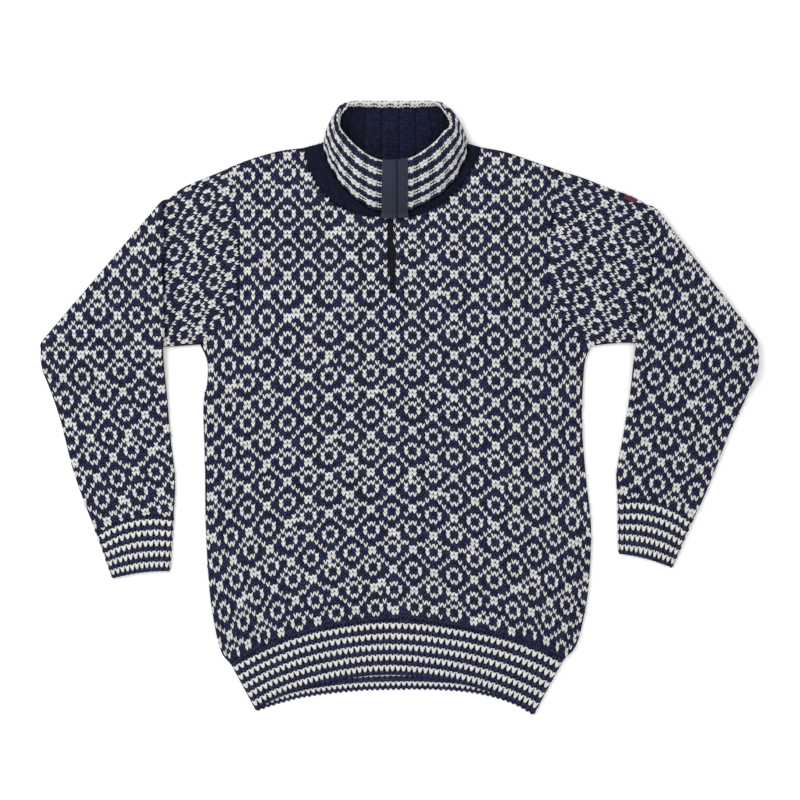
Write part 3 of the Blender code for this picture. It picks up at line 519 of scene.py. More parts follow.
def legs(centre, axis, side, up, plain=False):
    """Points and triangles of many rounded yarn legs that lie on the ground."""
    template = PLAIN_LEG if plain else LEG
    columns = [(-0.5, 0.0, SINK)]
    for place, width, height in template:
        columns += [(place, -width, SINK), (place, 0.0, height), (place, width, SINK)]
    columns.append((0.5, 0.0, SINK))
    points = np.stack([centre + axis * place + side * width + up * height
                       for place, width, height in columns], axis=1)
    count = len(columns)
    faces = [(0, 2, 1), (0, 3, 2)]
    for section in range(len(template) - 1):
        for near in (1 + 3 * section, 2 + 3 * section):
            faces += [(near, near + 1, near + 4), (near, near + 4, near + 3)]
    top = 1 + 3 * (len(template) - 1)
    faces += [(top, top + 1, count - 1), (top + 1, top + 2, count - 1)]
    faces = np.array(faces)[None] + (np.arange(len(centre)) * count)[:, None, None]
    return points.reshape(-1, 3), faces.reshape(-1, 3)


class Stitches:
    """Yarn legs of one colour, gathered until they become one piece."""

    def __init__(self):
        self.points = []
        self.faces = []
        self.count = 0

    def add(self, centre, axis, side, up, plain=False):
        if len(centre) == 0:
            return
        points, faces = legs(centre, axis, side, up, plain)
        self.points.append(points)
        self.faces.append(faces + self.count)
        self.count += len(points)

    def make(self, name, material, slot):
        points = np.vstack(self.points)
        points[:, 2] = np.maximum(points[:, 2], 0.0)
        return [piece(name, points, [np.vstack(self.faces)], material)]


class Wool:
    """The stitches of one piece of cloth in its two colours."""

    def __init__(self):
        self.navy = Stitches()
        self.white = Stitches()

    def make(self, name, white_material=None):
        return (self.navy.make(name + "_navy_stitches", NAVY, "navy_knit")
                + self.white.make(name + "_cream_stitches", white_material or CREAM, "cream_knit"))


def knit(target, cells, yarn=YARN, plain=False, full=1.0, filled=None):
    """V stitches: two legs that meet at the tip, with a small uneven hand.

    The cells are their centres, widths, heights and normals. Where filled is true, a
    low broad pad closes the gaps between the legs.
    """
    centre, across, rise, normal = cells
    count = len(centre)
    if count == 0:
        return
    if filled is not None and filled.any():
        target.add((centre - rise * 0.08)[filled], rise[filled] * 1.15, across[filled] * 0.40,
                   normal[filled] * (0.62 * yarn), True)
    hand = RANDOM.normal(0.0, 1.0, (count, 4))
    centre = centre + across * (0.025 * hand[:, :1]) + rise * (0.03 * hand[:, 1:2])
    for sign in (-1.0, 1.0):
        lean = sign * (0.44 + 0.03 * hand[:, 2:3])
        axis = rise * ((1.24 + 0.05 * hand[:, 3:4]) * full) + across * lean
        side = across * (0.235 * full)
        place = centre + across * (0.23 * sign)
        height = yarn * (1.0 + 0.08 * RANDOM.normal(0.0, 1.0, (count, 1)))
        target.add(place, axis, side, normal * height, plain)


def purl(target, cells, length, yarn):
    """Short loops that lie across a valley."""
    centre, across, rise, normal = cells
    target.add(centre, across, rise * length * 0.5, normal * yarn)


def cells_on(surface, u, v, wide, high, flip=False, turned=False):
    """Stitch cells on a surface function, turned where v counts up from a base."""
    v = np.full(len(u), v)
    across = surface(u + 0.5 * wide, v) - surface(u - 0.5 * wide, v)
    rise = surface(u, v - 0.5 * high) - surface(u, v + 0.5 * high)
    normal = unit(np.cross(across, rise))
    return surface(u, v), across, -rise if turned else rise, -normal if flip else normal


# --------------------------------------------------------------------- materials

def new_material(name):
    """A material, a function that adds a node, and one that fills in its shader."""
    material = bpy.data.materials.new(name)
    material.use_nodes = True
    tree = material.node_tree

    def fill(made, inputs):
        for socket, value in inputs.items():
            if isinstance(value, bpy.types.NodeSocket):
                tree.links.new(value, made.inputs[socket])
            else:
                made.inputs[socket].default_value = value

    def node(kind, output, inputs, **settings):
        made = tree.nodes.new("ShaderNode" + kind)
        for key, value in settings.items():
            setattr(made, key, value)
        fill(made, inputs)
        return made.outputs[output]

    return material, node, lambda inputs: fill(tree.nodes["Principled BSDF"], inputs)


def yarn_material(name, colour, deep, sheen=0.1):
    """Woollen yarn: uneven dye, fine fibre relief and a soft sheen."""
    material, node, shade = new_material(name)
    place = node("TexCoord", "Object", {})
    fine = node("TexNoise", "Fac", {"Vector": place, "Scale": 900.0, "Detail": 4.0})
    broad = node("TexNoise", "Fac", {"Vector": place, "Scale": 170.0, "Detail": 3.0})
    blend = node("Math", "Value", {0: fine, 1: 0.5, 2: broad}, operation="MULTIPLY_ADD")
    reach = node("MapRange", "Result", {"Value": blend, "From Min": 0.56, "From Max": 0.94})
    mix = node("Mix", "Result", {"Factor": reach, "A": (*deep, 1.0), "B": (*colour, 1.0)},
               data_type="RGBA")
    bump = node("Bump", "Normal", {"Strength": 0.5, "Distance": 0.0005, "Height": fine})
    shade({"Base Color": mix, "Normal": bump, "Roughness": 0.95, "Specular IOR Level": 0.15,
           "Sheen Weight": sheen, "Sheen Roughness": 0.45})
    return material


def ribbed_material(name, colour, deep, scale, roughness, metallic=0.0, direction="X"):
    """Fine parallel ribs in colour and relief, for ribbon, tape and the tab."""
    material, node, shade = new_material(name)
    place = node("TexCoord", "Object", {})
    ribs = node("TexWave", "Fac", {"Vector": place, "Scale": scale, "Distortion": 0.4},
                bands_direction=direction)
    noise = node("TexNoise", "Fac", {"Vector": place, "Scale": 400.0})
    blend = node("Math", "Value", {0: ribs, 1: 0.55, 2: noise}, operation="MULTIPLY_ADD")
    mix = node("Mix", "Result", {"Factor": blend, "A": (*deep, 1.0), "B": (*colour, 1.0)},
               data_type="RGBA")
    bump = node("Bump", "Normal", {"Strength": 0.4, "Distance": 0.0004, "Height": blend})
    shade({"Base Color": mix, "Normal": bump, "Roughness": roughness,
           "Specular IOR Level": 0.5 if metallic else 0.2, "Metallic": metallic})
    return material


CREAM = yarn_material("off-white wool", (0.660, 0.660, 0.645), (0.540, 0.536, 0.520))
COLLAR_CREAM = yarn_material("off-white collar wool", (0.60, 0.60, 0.585), (0.50, 0.496, 0.480))
NAVY = yarn_material("navy wool", (0.0340, 0.0410, 0.103), (0.0085, 0.0105, 0.031))
# The ground under the stitches: navy wool, made far darker than the yarn as painted shade in the gaps
# between stitches.
NAVY_GROUND_WITH_PAINTED_SHADE = yarn_material("navy wool ground with painted shade", (0.0060, 0.0075, 0.020), (0.0025, 0.0032, 0.009), 0.02)
BAND = yarn_material("navy band wool", (0.0095, 0.0125, 0.033), (0.0030, 0.0042, 0.0125), 0.02)
LINING = yarn_material("navy lining wool", (0.0150, 0.0200, 0.058), (0.0042, 0.0065, 0.022), 0.02)
# A darker copy of the lining wool for the stitches at the lining's sides: painted shade where the
# light does not reach.
LINING_PAINTED_SHADE = yarn_material("lining wool with painted shade", (0.0098, 0.0128, 0.034), (0.0028, 0.0042, 0.013),
                            0.01)
# The lining's ground, near black as painted shade in the valleys between its ribs.
SHADE = yarn_material("lining ground with painted shade", (0.0045, 0.0055, 0.013), (0.0018, 0.0024, 0.006), 0.0)
RIBBON = ribbed_material("grosgrain", (0.0225, 0.0285, 0.0500), (0.0050, 0.0070, 0.0150), 240.0, 0.7)
TAPE = ribbed_material("woven tape", (0.018, 0.020, 0.034), (0.008, 0.009, 0.016), 300.0, 0.8,
                       direction="Y")
COIL = ribbed_material("nylon coil", (0.022, 0.016, 0.013), (0.010, 0.008, 0.007), 500.0, 0.4,
                       direction="Y")
METAL = ribbed_material("plated metal", (0.075, 0.068, 0.062), (0.055, 0.050, 0.046), 60.0, 0.34,
                        1.0)
TAB = ribbed_material("tab tape", (0.110, 0.020, 0.034), (0.035, 0.009, 0.018), 420.0, 0.8)


# ------------------------------------------------------------------------- chart
# The pattern is charted. Rings and blocks take turns down every fifth
# stitch, a ring coming back after nine or ten rows, and stepped lines join the
# blocks of neighbouring lines.

RING = [(-1, -2), (0, -2), (-2, -1), (-2, 0), (1, -1), (1, 0), (-1, 1), (0, 1)]
BLOCK = [(-1, -1), (0, -1), (-1, 0), (0, 0)]
RING_REPEAT = 9.5
BLOCK_DROP = 5

# The knitter's unevenness: "u" moves a ring on by half a row, and a
# letter is a block with more stitches.
RING_SHIFTS = ["u.uu.u.", ".u..uu.", "uu.u..u", ".uu.u.u", "u..u.uu"]
BLOCK_EXTRAS = ["a...c..", ".d...b.", "..c..a.", "b...d..", "...a..c"]
EXTRA_CELLS = {"a": [(-2, -1)], "b": [(1, 0)], "c": [(1, -1), (2, -1)], "d": [(-1, 1)]}
CHART_HALF = 120


def ring_row(line, order):
    shift = 0.5 if RING_SHIFTS[line % 5][order % 7] == "u" else 0.0
    return math.floor(RING_REPEAT * (order + 0.5 * (line % 2)) + shift)


def chart():
    """Whether each stitch is off-white, for columns and rows round the centre."""
    table = np.zeros((2 * CHART_HALF, 2 * CHART_HALF), bool)

    def paint(cells, column, row):
        for step, fall in cells:
            table[(row + fall) % len(table), (column + step) % len(table)] = True

    for line in range(-24, 24):
        for order in range(-12, 13):
            column, row = 5 * line, ring_row(line, order)
            paint(RING, column, row)
            row += BLOCK_DROP
            paint(BLOCK, column, row)
            paint(EXTRA_CELLS.get(BLOCK_EXTRAS[order % 5][line % 7], []), column, row)
            for near in (line - 1, line + 1):
                below = [ring_row(near, order + step) + BLOCK_DROP for step in (-1, 0, 1)]
                drop = min(other - row for other in below if other > row + 2)
                for step in (1, 2, 3):
                    place = column + (step if near > line else -1 - step)
                    paint([(0, 0)], place, row + int(0.25 * step * (drop - 1) + 0.5))
    return table


CHART = chart()


def is_white(column, row):
    return CHART[row % len(CHART), column % len(CHART)]


def is_solid(column, row):
    """Off-white stitches with another one over or under them."""
    return is_white(column, row) & (is_white(column, row - 1) | is_white(column, row + 1))


# ------------------------------------------------------------------------ panels

LINES = {"hem": resample(HEM_TOP, FINE)}
for number, side in enumerate(SIDES):
    for key, table in (("side", SIDE), ("armhole", ARMHOLE), ("shoulder", SHOULDER),
                       ("neck", NECKLINE)):
        LINES[key + "_" + side] = resample([row[2 * number:2 * number + 2] for row in table], FINE)
FOLDS = [LINES["side_left"], LINES["side_right"][::-1],
         LINES["shoulder_left"][::-1], LINES["shoulder_right"]]
# The lines along which the front panel lies on the back panel.
RESTS = [np.vstack([LINES["side_left"][::-1], LINES["armhole_left"][::-1],
                    LINES["shoulder_left"][::-1]]),
         np.vstack([LINES["shoulder_right"], LINES["armhole_right"], LINES["side_right"]])]


def zip_x(y):
    """The zip's middle line."""
    return lerp(ZIP_TOP_X, ZIP_END_X, (SLIT_TOP_Y - y) / (SLIT_TOP_Y - SLIT_END_Y))


def body_outline(front):
    """The closed edge of a body panel, down its left side and up its right."""
    if front:
        slit_y = np.linspace(SLIT_TOP_Y, SLIT_END_Y, 18)[1:]
        neck = [shifted(LINES["neck_right"], SEAM)[::-1],
                np.column_stack([zip_x(slit_y) + SLIT_HALF, slit_y]),
                np.column_stack([zip_x(slit_y) - SLIT_HALF, slit_y])[::-1],
                shifted(LINES["neck_left"], -SEAM)]
    else:
        neck = [shifted(resample(BACK_NECKLINE, FINE), SEAM)[::-1]]
    return np.vstack([LINES["side_left"][:-1], LINES["hem"], LINES["side_right"][-2::-1],
                      LINES["armhole_right"][-2::-1], LINES["shoulder_right"][-2:0:-1], *neck,
                      LINES["shoulder_left"][1:-1], LINES["armhole_left"][:-1]])


def front_low(places):
    """Height of the front panel's underside, which lies on the back panel at its edges."""
    edge = nearest(places, RESTS)
    return FRONT_LOW - SEAM + SEAM * ease(edge / EDGE_ROUND) + FRONT_PUFF * ease(edge / PUFF_REACH)


def front_heights(places):
    low = front_low(places)
    lip = FRONT_LOW - SEAM + EDGE_LIP - 0.5
    edge = nearest(places, FOLDS)
    full = low + WALL - SKIN + crease(places) * ease(edge / CREASE_START)
    return lip + (full - lip) * round_share(edge), low + 0.2


def back_heights(places):
    edge = nearest(places, FOLDS)
    dents = np.maximum(-crease(places * np.array((-1.0, 1.0)), 0.5), 0.0) * ease(edge / CREASE_START)
    low = SKIN + dents + (WALL - EDGE_LIP - SKIN) * (1.0 - round_share(edge))
    return np.full(len(places), WALL), np.minimum(low, WALL - 0.4)


def panel(name, outline, heights, faces_up):
    """A thin wall over a free outline, and a tree of the face that shows."""
    places = [outline]
    for fold in FOLDS:
        for inset in FOLD_INSETS:
            line = shifted(fold, -inset)
            keep = inside(line, outline) & (line_distance(line, outline) > 0.8 * inset)
            places.append(line[keep])
    low, high = outline.min(axis=0), outline.max(axis=0)
    grid = np.stack(np.meshgrid(np.arange(low[0], high[0], GRID),
                                np.arange(low[1], high[1], GRID)), axis=-1).reshape(-1, 2)
    closed = np.vstack([outline, outline[:1]])
    keep = inside(grid, outline) & (line_distance(grid, closed) > 0.45 * GRID)
    places.append(grid[keep])
    count = len(outline)
    border = [(number, (number + 1) % count) for number in range(count)]
    flat, _, triangles, _, _, _ = delaunay_2d_cdt([Vector(place) for place in np.vstack(places)],
                                                  border, [], 1, 1e-6)
    flat = np.array([(place.x, place.y) for place in flat])
    points = np.vstack([np.column_stack([flat, height]) for height in heights(flat)])
    groups = wall_groups(np.array([tuple(face) for face in triangles]), len(flat))
    thing = piece(name + "_knit", points, groups, NAVY_GROUND_WITH_PAINTED_SHADE, (name,))
    return thing, tree_of(points, groups[0] if faces_up else groups[1])


def cast(tree, places, from_above=True):
    """Height, normal and face under or over each place. A miss gives face -1."""
    count = len(places)
    height = np.zeros(count)
    normal = np.zeros((count, 3))
    face = np.full(count, -1)
    start_z = 200.0 if from_above else -200.0
    direction = Vector((0.0, 0.0, -1.0 if from_above else 1.0))
    for number, (x, y) in enumerate(places.tolist()):
        hit, facing, index, _ = tree.ray_cast(Vector((x, y, start_z)), direction)
        if hit is not None:
            height[number] = hit.z
            normal[number] = facing * (1.0 if (facing.z > 0.0) == from_above else -1.0)
            face[number] = index
    return height, normal, face


def on_surface(normal, vector, from_above=True):
    """A flat direction laid along the surface, where a steep slope draws it out little."""
    sign = 1.0 if from_above else -1.0
    upright = sign * np.maximum(sign * normal[:, 2], 0.4)
    rise = -(normal[:, 0] * vector[:, 0] + normal[:, 1] * vector[:, 1]) / upright
    laid = np.column_stack([vector, rise])
    longest = 1.2 * np.linalg.norm(vector, axis=1, keepdims=True)
    return laid * np.minimum(1.0, longest / np.linalg.norm(laid, axis=1, keepdims=True))


def near_seam(places):
    """Places within a stitch of a seam, where the next piece carries the cloth on."""
    seams = [LINES["armhole_left"], LINES["armhole_right"], LINES["hem"]]
    return nearest(places, seams) < STITCH_WIDE


def tucked(covered, centre, across, rise):
    """Shorten and draw in the stitches that would reach out past the cloth's edge."""
    vectors = []
    for vector, reach in ((across, 0.5), (rise, 0.62)):
        spots = [centre[:, :2] + vector[:, :2] * way for way in (reach, -reach)]
        ahead, behind = (covered(places) | near_seam(places) for places in spots)
        centre = centre + vector * (0.2 * (ahead.astype(float) - behind.astype(float)))[:, None]
        vectors.append(vector * np.where(ahead & behind, 1.0, 0.58)[:, None])
    return centre, *vectors


def lattice(mapping, columns, rows):
    """Cells of a stitch map with their places and directions."""
    column, row = (values.ravel() for values in np.meshgrid(np.arange(*columns), np.arange(*rows)))
    across = mapping(column + 0.5, row) - mapping(column - 0.5, row)
    rise = mapping(column, row - 0.5) - mapping(column, row + 0.5)
    return column, row, mapping(column, row), across, rise


def strand(wool, cells, tree, from_above, near, wanted, covered):
    """Knit the charted stitches of a lattice onto one side of a surface.

    near picks cells by their places, wanted picks them by the normals and faces that
    they meet, and covered tells which places have cloth.
    """
    cells = only(cells, near(cells[2]))
    height, normal, face = cast(tree, cells[2], from_above)
    keep = (face >= 0) & wanted(normal, face)
    column, row, place, across, rise, height, normal = only([*cells, height, normal], keep)
    across = on_surface(normal, across, from_above)
    rise = on_surface(normal, rise, from_above)
    cells = [*tucked(covered, np.column_stack([place, height]), across, rise), normal]
    white = is_white(column, row) & (line_distance(place, LINES["hem"]) > HEM_NAVY)
    yarn = YARN if from_above else SKIN
    knit(wool.white, only(cells, white), yarn * CREAM_YARN, not from_above, CREAM_FULL,
         is_solid(column, row)[white] if from_above else None)
    knit(wool.navy, only(cells, ~white), yarn, not from_above)


# How far the rows drop 240 mm out from the middle, where the hem draws the middle
# up: an even slope and a share that grows towards the side.
ROW_DROP = np.array([
    # y, slope at the left and right, growing share at the left and right
    (-281, 20, 31, 42, 34),
    (-212, 20, 31, 32, 29),
    (-160, 20, 31, 22, 24),
    (-109, 20, 31, 15, 20),
    (-58, 20, 31, 11, 12),
    (-6, 20, 29, 5, 4),
    (121, 10, 14, 0, 0),
    (174, -3, 8, 0, 0),
    (340, -4, 8, 0, 0),
], float)
# How the stitches draw together towards the hem: y, and share of their width.
NARROWING = np.array([(-340, 0.895), (-268, 0.945), (-206, 0.978), (-140, 1.0)])
RING_X = -10.3          # the middle ring's place
RING_Y = 19.6
BODY_SPANS = ((-52, 54), (-66, 82))      # columns and rows


def body_map(column, row):
    """Place on the body of a column and row of its stitches."""
    x = STITCH_WIDE * (column + 0.5)
    y = RING_Y - STITCH_HIGH * (row + 0.5)
    out = np.abs(x)
    x = RING_X + np.sign(x) * (out - 8.2 * (np.maximum(out - 152.0, 0.0) / 95.0) ** 1.6)
    slope_left, slope_right, left, right = along(ROW_DROP[:, 1:], ROW_DROP[:, 0], y).T
    away = np.abs(x) / 240.0
    y = (y - np.where(x < 0.0, slope_left, slope_right) * away
         - np.where(x < 0.0, left, right) * away ** 3)
    narrow = np.interp(y, *NARROWING.T)
    return np.column_stack([x * narrow + 4.0 * (1.0 - narrow) / 0.055, y])


def dress_panel(name, tree, outline, front):
    """Cover a body panel with stranded stitches. Returns its new pieces."""
    closed = np.vstack([outline, outline[:1]])
    wool = Wool()
    strand(wool, lattice(body_map, *BODY_SPANS), tree, front,
           lambda places: inside(places, outline) & (line_distance(places, closed) > 0.3),
           lambda normal, face: True, lambda places: inside(places, outline))
    return wool.make(name)


# ----------------------------------------------------------------------- sleeves

# The stitch maps of the sleeves, in the picture's frame: a ring's centre, the run of
# ten stitches across, the run of ten rows towards the cuff, and how far this bends.
SLEEVE_MAPS = {
    "left_upper": ((194.0, 267.0), (3.3, 42.0), (-34.7, 12.0), 0.0),
    "left_lower": ((101.0, 355.0), (38.4, -0.6), (2.0, 40.6), 2.2),
    "right_upper": ((612.0, 248.0), (-8.0, 39.2), (35.2, 12.2), 0.0),
    "right_lower": ((665.0, 295.0), (38.6, 4.4), (-4.4, 41.0), -0.7),
}
PX = 1.32               # millimetres for one step of the picture's frame
PICTURE_MIDDLE = (399.5, 407.0)
SLEEVE_SPANS = ((-75, 76), (-75, 76))    # columns and rows
SLEEVE_X = (190.0, 490.0)                # where the sleeves lie, left and right alike
SLEEVE_Y = (-190.0, 330.0)
ARMHOLE_BOWS = (1.0, 0.55, 0.2, 0.0)     # share of the armhole's bend in each upper row


def fold_normal(side):
    """The level direction out of a sleeve's fold, away from the body."""
    row = [row for row in SLEEVES[side] if row[0] == "in"][0]
    run = unit(np.array((row[3] - row[1], row[4] - row[2]), float))
    normal = np.array((run[1], -run[0]))
    outward = -1.0 if side == "left" else 1.0
    return normal if normal[0] * outward > 0.0 else -normal


def sleeve_section(width, outer):
    """A closed ring across the flattened sleeve: distance in, and height."""
    insets = np.array((0.0, 0.35, 1.1, 2.2, 3.6, 5.2, 8.0))
    inset = np.concatenate([insets, np.linspace(12.0, width - 12.0, 16), width - insets[::-1]])
    edge = np.minimum(inset, width - inset)
    middle = TUBE_TOP / 2
    if outer:
        rise = (middle - SKIN) * round_share(edge, 5.0)
        inset = lerp(inset, width / 2, 1.2 / width)
    else:
        rise = SEAM * np.clip(edge / 12.0, 0.05, 1.0)
        inset = np.clip(inset, 3.2 + 0.25 * inset, width - 3.2 - 0.25 * (width - inset))
    upper = np.column_stack([inset, middle + rise])
    lower = np.column_stack([inset, middle - rise])[::-1][1:-1]
    return np.vstack([upper, lower])


def bend_of_armhole(side, share):
    """How far the armhole's line lies off the straight line between its ends."""
    seam = LINES["armhole_" + side]
    keys = chord_keys(seam)
    share = np.clip(share, 0.0, 1.0)
    return along(seam, keys, share * keys[-1]) - lerp(seam[0], seam[-1], share[:, None])


def sleeve_ring(side, ends, outer, kind, turn=0.0, bow=0.0, seam_bow=0.0):
    """A ring across a sleeve: flat, part of its fold, or lower, where it lies turned over."""
    top, under = ends[:2], ends[2:]
    width = np.linalg.norm(under - top)
    across = (under - top) / width
    lengthwise = np.array((-across[1], across[0])) * np.sign(across[0])
    section = sleeve_section(width, outer)
    share = section[:, 0] / width
    place = lerp(top, under, share[:, None]) + bow * bend_of_armhole(side, share)
    place = place + lengthwise * (seam_bow * 4.0 * share * (1.0 - share))[:, None]
    height = section[:, 1]
    if kind == "fold":
        radius = ROLL_CENTRE - height
        place = place + fold_normal(side) * (radius * math.sin(turn))[:, None]
        height = ROLL_CENTRE - radius * math.cos(turn)
    elif kind == "lower":
        drop = (2 * ROLL_CENTRE - TUBE_TOP) * ease((DROP_START - place[:, 1]) / DROP_LENGTH)
        height = 2 * ROLL_CENTRE - height - drop
    return np.column_stack([place, height])


def sleeve_rings(side, outer):
    """Rings from the armhole to the cuff, and whether each is in the lower sleeve."""
    rows = SLEEVES[side]
    rings = []
    lower = []
    for index, (line, *ends) in enumerate(rows):
        ends = np.array(ends, float)
        if line == "upper":
            if index == 0:
                ends[[0, 2]] += -SEAM if side == "left" else SEAM
            rings.append(sleeve_ring(side, ends, outer, "flat", bow=ARMHOLE_BOWS[index]))
            lower.append(0.0)
        elif line == "in":
            far = np.array(rows[index + 1][1:], float)
            for share in np.linspace(0.0, 1.0, 2 * FOLD_STEPS + 1):
                rings.append(sleeve_ring(side, lerp(ends, far, share), outer, "fold",
                                         turn=math.pi * share))
                lower.append(float(share > 0.3))
        elif line in ("lower", "cuff"):
            seam_bow = CUFFS[side][4] if line == "cuff" else 0.0
            rings.append(sleeve_ring(side, ends, outer, "lower", seam_bow=seam_bow))
            lower.append(1.0)
    return np.array(rings), np.array(lower)


def finer(rings, lower, step=8.0):
    """More rings on a smooth course through the given ones."""
    count, size, _ = rings.shape
    gaps = np.linalg.norm(np.diff(rings, axis=0), axis=2).mean(axis=1)
    keys = np.concatenate([[0.0], np.cumsum(gaps)])
    places = []
    for start, gap in zip(keys, gaps):
        parts = max(1, round(gap / step))
        places += [start + gap * part / parts for part in range(parts)]
    places.append(keys[-1])
    made = curve_at(rings.reshape(count, -1), keys, places).reshape(-1, size, 3)
    return made, np.interp(places, keys, lower)


def upright_share(points):
    """How far the outward direction at each point of closed rings points up."""
    lengthwise = np.gradient(points, axis=0)
    around = np.roll(points, -1, axis=1) - np.roll(points, 1, axis=1)
    upright = unit(np.cross(around, lengthwise))[..., 2]
    return upright * np.sign(upright[2, 10])


def sleeve_map(key):
    """The places of a sleeve's columns and rows of stitches."""
    (x, y), (across_x, across_y), (row_x, row_y), bend = SLEEVE_MAPS[key]

    def mapping(column, row):
        column = (column + 0.5) / 10.0
        row = (row + 0.5) / RING_REPEAT
        turn = np.maximum(row, 0.0)
        right = x + across_x * column + row_x * row + 0.5 * bend * turn ** 2
        down = y + (across_y - 0.95 * bend * turn) * column + row_y * row
        return np.column_stack([(right - PICTURE_MIDDLE[0]) * PX, (PICTURE_MIDDLE[1] - down) * PX])

    return mapping


def make_sleeve(side):
    """The sleeve's thin shell and its stitches, seen ones full and hidden ones plain."""
    name = "sleeve_" + side
    rings, lower = sleeve_rings(side, True)
    outer, kind = finer(rings, lower)
    inner, _ = finer(sleeve_rings(side, False)[0], lower)
    upright = upright_share(outer)
    swell = crease(outer[..., :2].reshape(-1, 2)).reshape(upright.shape)
    outer[..., 2] += (swell * np.clip(upright, 0.0, 1.0) ** 2
                      + np.maximum(-0.5 * swell, 0.0) * np.clip(-upright, 0.0, 1.0) ** 2)
    rows, columns = upright.shape
    outer = outer.reshape(-1, 3)
    thing = wall(name + "_knit", outer, inner.reshape(-1, 3), columns, NAVY_GROUND_WITH_PAINTED_SHADE, name,
                 closed=True)
    tree = tree_of(outer, grid_quads(rows, columns, closed=True))

    def near(places):
        x, y = places.T
        return ((np.abs(x) > SLEEVE_X[0]) & (np.abs(x) < SLEEVE_X[1]) & (y > SLEEVE_Y[0])
                & (y < SLEEVE_Y[1]) & ((x < 0.0) == (side == "left")))

    made = []
    for view, sign in (("", 1.0), ("_under", -1.0)):
        wool = Wool()
        for part, in_lower in (("_upper", False), ("_lower", True)):
            strand(wool, lattice(sleeve_map(side + part), *SLEEVE_SPANS), tree, sign > 0.0, near,
                   lambda normal, face: (((kind[face // columns] > 0.5) == in_lower)
                                         & (sign * normal[:, 2] > 0.3)),
                   lambda places: cast(tree, places, sign > 0.0)[2] >= 0)
        made += wool.make(name + view)
    return thing, made, tree


def make_tab(tree):
    """A small plain woven tab, sewn down along the sleeve's upper edge."""
    corners = np.array(TAB_PLACE)

    def flat(u, v):
        u, v = u[:, None], v[:, None]
        return lerp(lerp(corners[0], corners[1], u), lerp(corners[3], corners[2], u), v)

    places = grid_on(flat, np.linspace(0.0, 1.0, 13), np.linspace(0.0, 1.0, 6))
    height = np.maximum(cast(tree, places)[0], TUBE_TOP / 2) + TAB_LIFT
    return wall("sleeve_tab_woven", np.column_stack([places, height + TAB_WALL]),
                np.column_stack([places, height]), 13, TAB, "sleeve_tab", flip=True)


# -------------------------------------------------------------------------- ribs

# The courses of a striped 1 x 1 rib from its seam to its free end: middle, height,
# and whether off-white.
RIB_COURSES = [
    (0.6, 3.6, False), (7.0, 7.0, True), (14.0, 5.0, False), (21.0, 7.0, True),
    (28.0, 5.0, False), (35.0, 7.0, True), (42.0, 5.0, False), (49.0, 7.0, True),
    (56.0, 5.0, False), (63.0, 7.0, True), (68.7, 3.0, False), (71.0, 2.4, False),
]
# The courses that show on the inside of the back hem, and one that shows only at
# some of its ribs.
BACK_COURSES = [(61.502, 3.4, False), (63.985, 2.6, False), (67.232, 3.9, True),
                (70.861, 2.6, False), (72.771, 2.2, False)]
BACK_EXTRA = [(58.446, 1.5, True)]
BACK_EXTRA_RIBS = slice(15, 38)


def dress_rib(wool, surface, columns, pitch, yarn=YARN, courses=RIB_COURSES, flip=False,
              plain=False):
    """Columns of V stitches with small loops in the valleys between them."""
    for middle, high, white in courses:
        target = wool.white if white else wool.navy
        v, high = middle / RIB_LENGTH, high / RIB_LENGTH
        knit(target, cells_on(surface, columns, v, 0.74 * pitch, high, flip),
             yarn * (1.1 if white else 1.0), plain, 1.12,
             np.full(len(columns), white and not plain))
        if not plain:
            cells = cells_on(surface, columns + 0.5 * pitch, v - 0.46 * high, 0.46 * pitch,
                             3.4 / RIB_LENGTH, flip)
            purl(target, cells, 0.55, 0.7 * yarn)


def hem_surface(front, top, inset):
    """The face of one half of the hem as a function of places along and down it."""
    seam = LINES["hem"]
    seam_keys = chord_keys(seam)
    end = resample([(x, front_y if front else back_y) for x, front_y, back_y in HEM_END], FINE)
    end_keys = chord_keys(end)

    def surface(u, v):
        u = np.clip(u, 0.0, 1.0)
        start = along(seam, seam_keys, u * seam_keys[-1]) - np.array((0.0, SEAM))
        place = lerp(start, along(end, end_keys, u * end_keys[-1]), v[:, None])
        edge = np.minimum(u, 1.0 - u) * lerp(seam_keys[-1], end_keys[-1], v)
        rounding = round_share(edge)
        low = FRONT_LOW - SEAM + SEAM * rounding
        if not top:
            height = low if front else (WALL - EDGE_LIP) * (1.0 - rounding) + inset
            return np.column_stack([place, height])
        valley = RIB_RELIEF * wave(HEM_RIBS * u)
        height = WALL - valley * rounding
        if front:
            puff = crease(place, 0.6) * ease((0.5 - v) / 0.5) * ease(edge / CREASE_START)
            height = low + EDGE_LIP + (WALL - EDGE_LIP - valley) * rounding + puff
        return np.column_stack([place, height - 1.2 * ease((v - 0.94) / 0.06) - inset * rounding])

    return surface


def make_hem(front):
    """Half of the hem rib and its stitches."""
    name = "front_hem" if front else "back_hem"
    u = np.linspace(0.0, 1.0, 4 * HEM_RIBS + 1)
    upper = hem_surface(front, True, SKIN if front else 0.6 * SKIN)
    under = hem_surface(front, False, SKIN)
    thing = wall(name + "_rib_knit", grid_on(upper, u, RIB_ROWS), grid_on(under, u, RIB_ROWS), len(u),
                 NAVY_GROUND_WITH_PAINTED_SHADE, name + "_rib", flip=True)
    columns = (np.arange(HEM_RIBS) + 0.5) / HEM_RIBS
    pitch = 1.0 / HEM_RIBS
    wool = Wool()
    if front:
        dress_rib(wool, upper, columns, pitch)
    else:
        dress_rib(wool, upper, columns, pitch, 0.8 * YARN, BACK_COURSES)
        dress_rib(wool, upper, columns[BACK_EXTRA_RIBS], pitch, 0.6 * YARN, BACK_EXTRA)
        dress_rib(wool, under, columns, pitch, SKIN, flip=True, plain=True)
    return thing, wool.make(name)


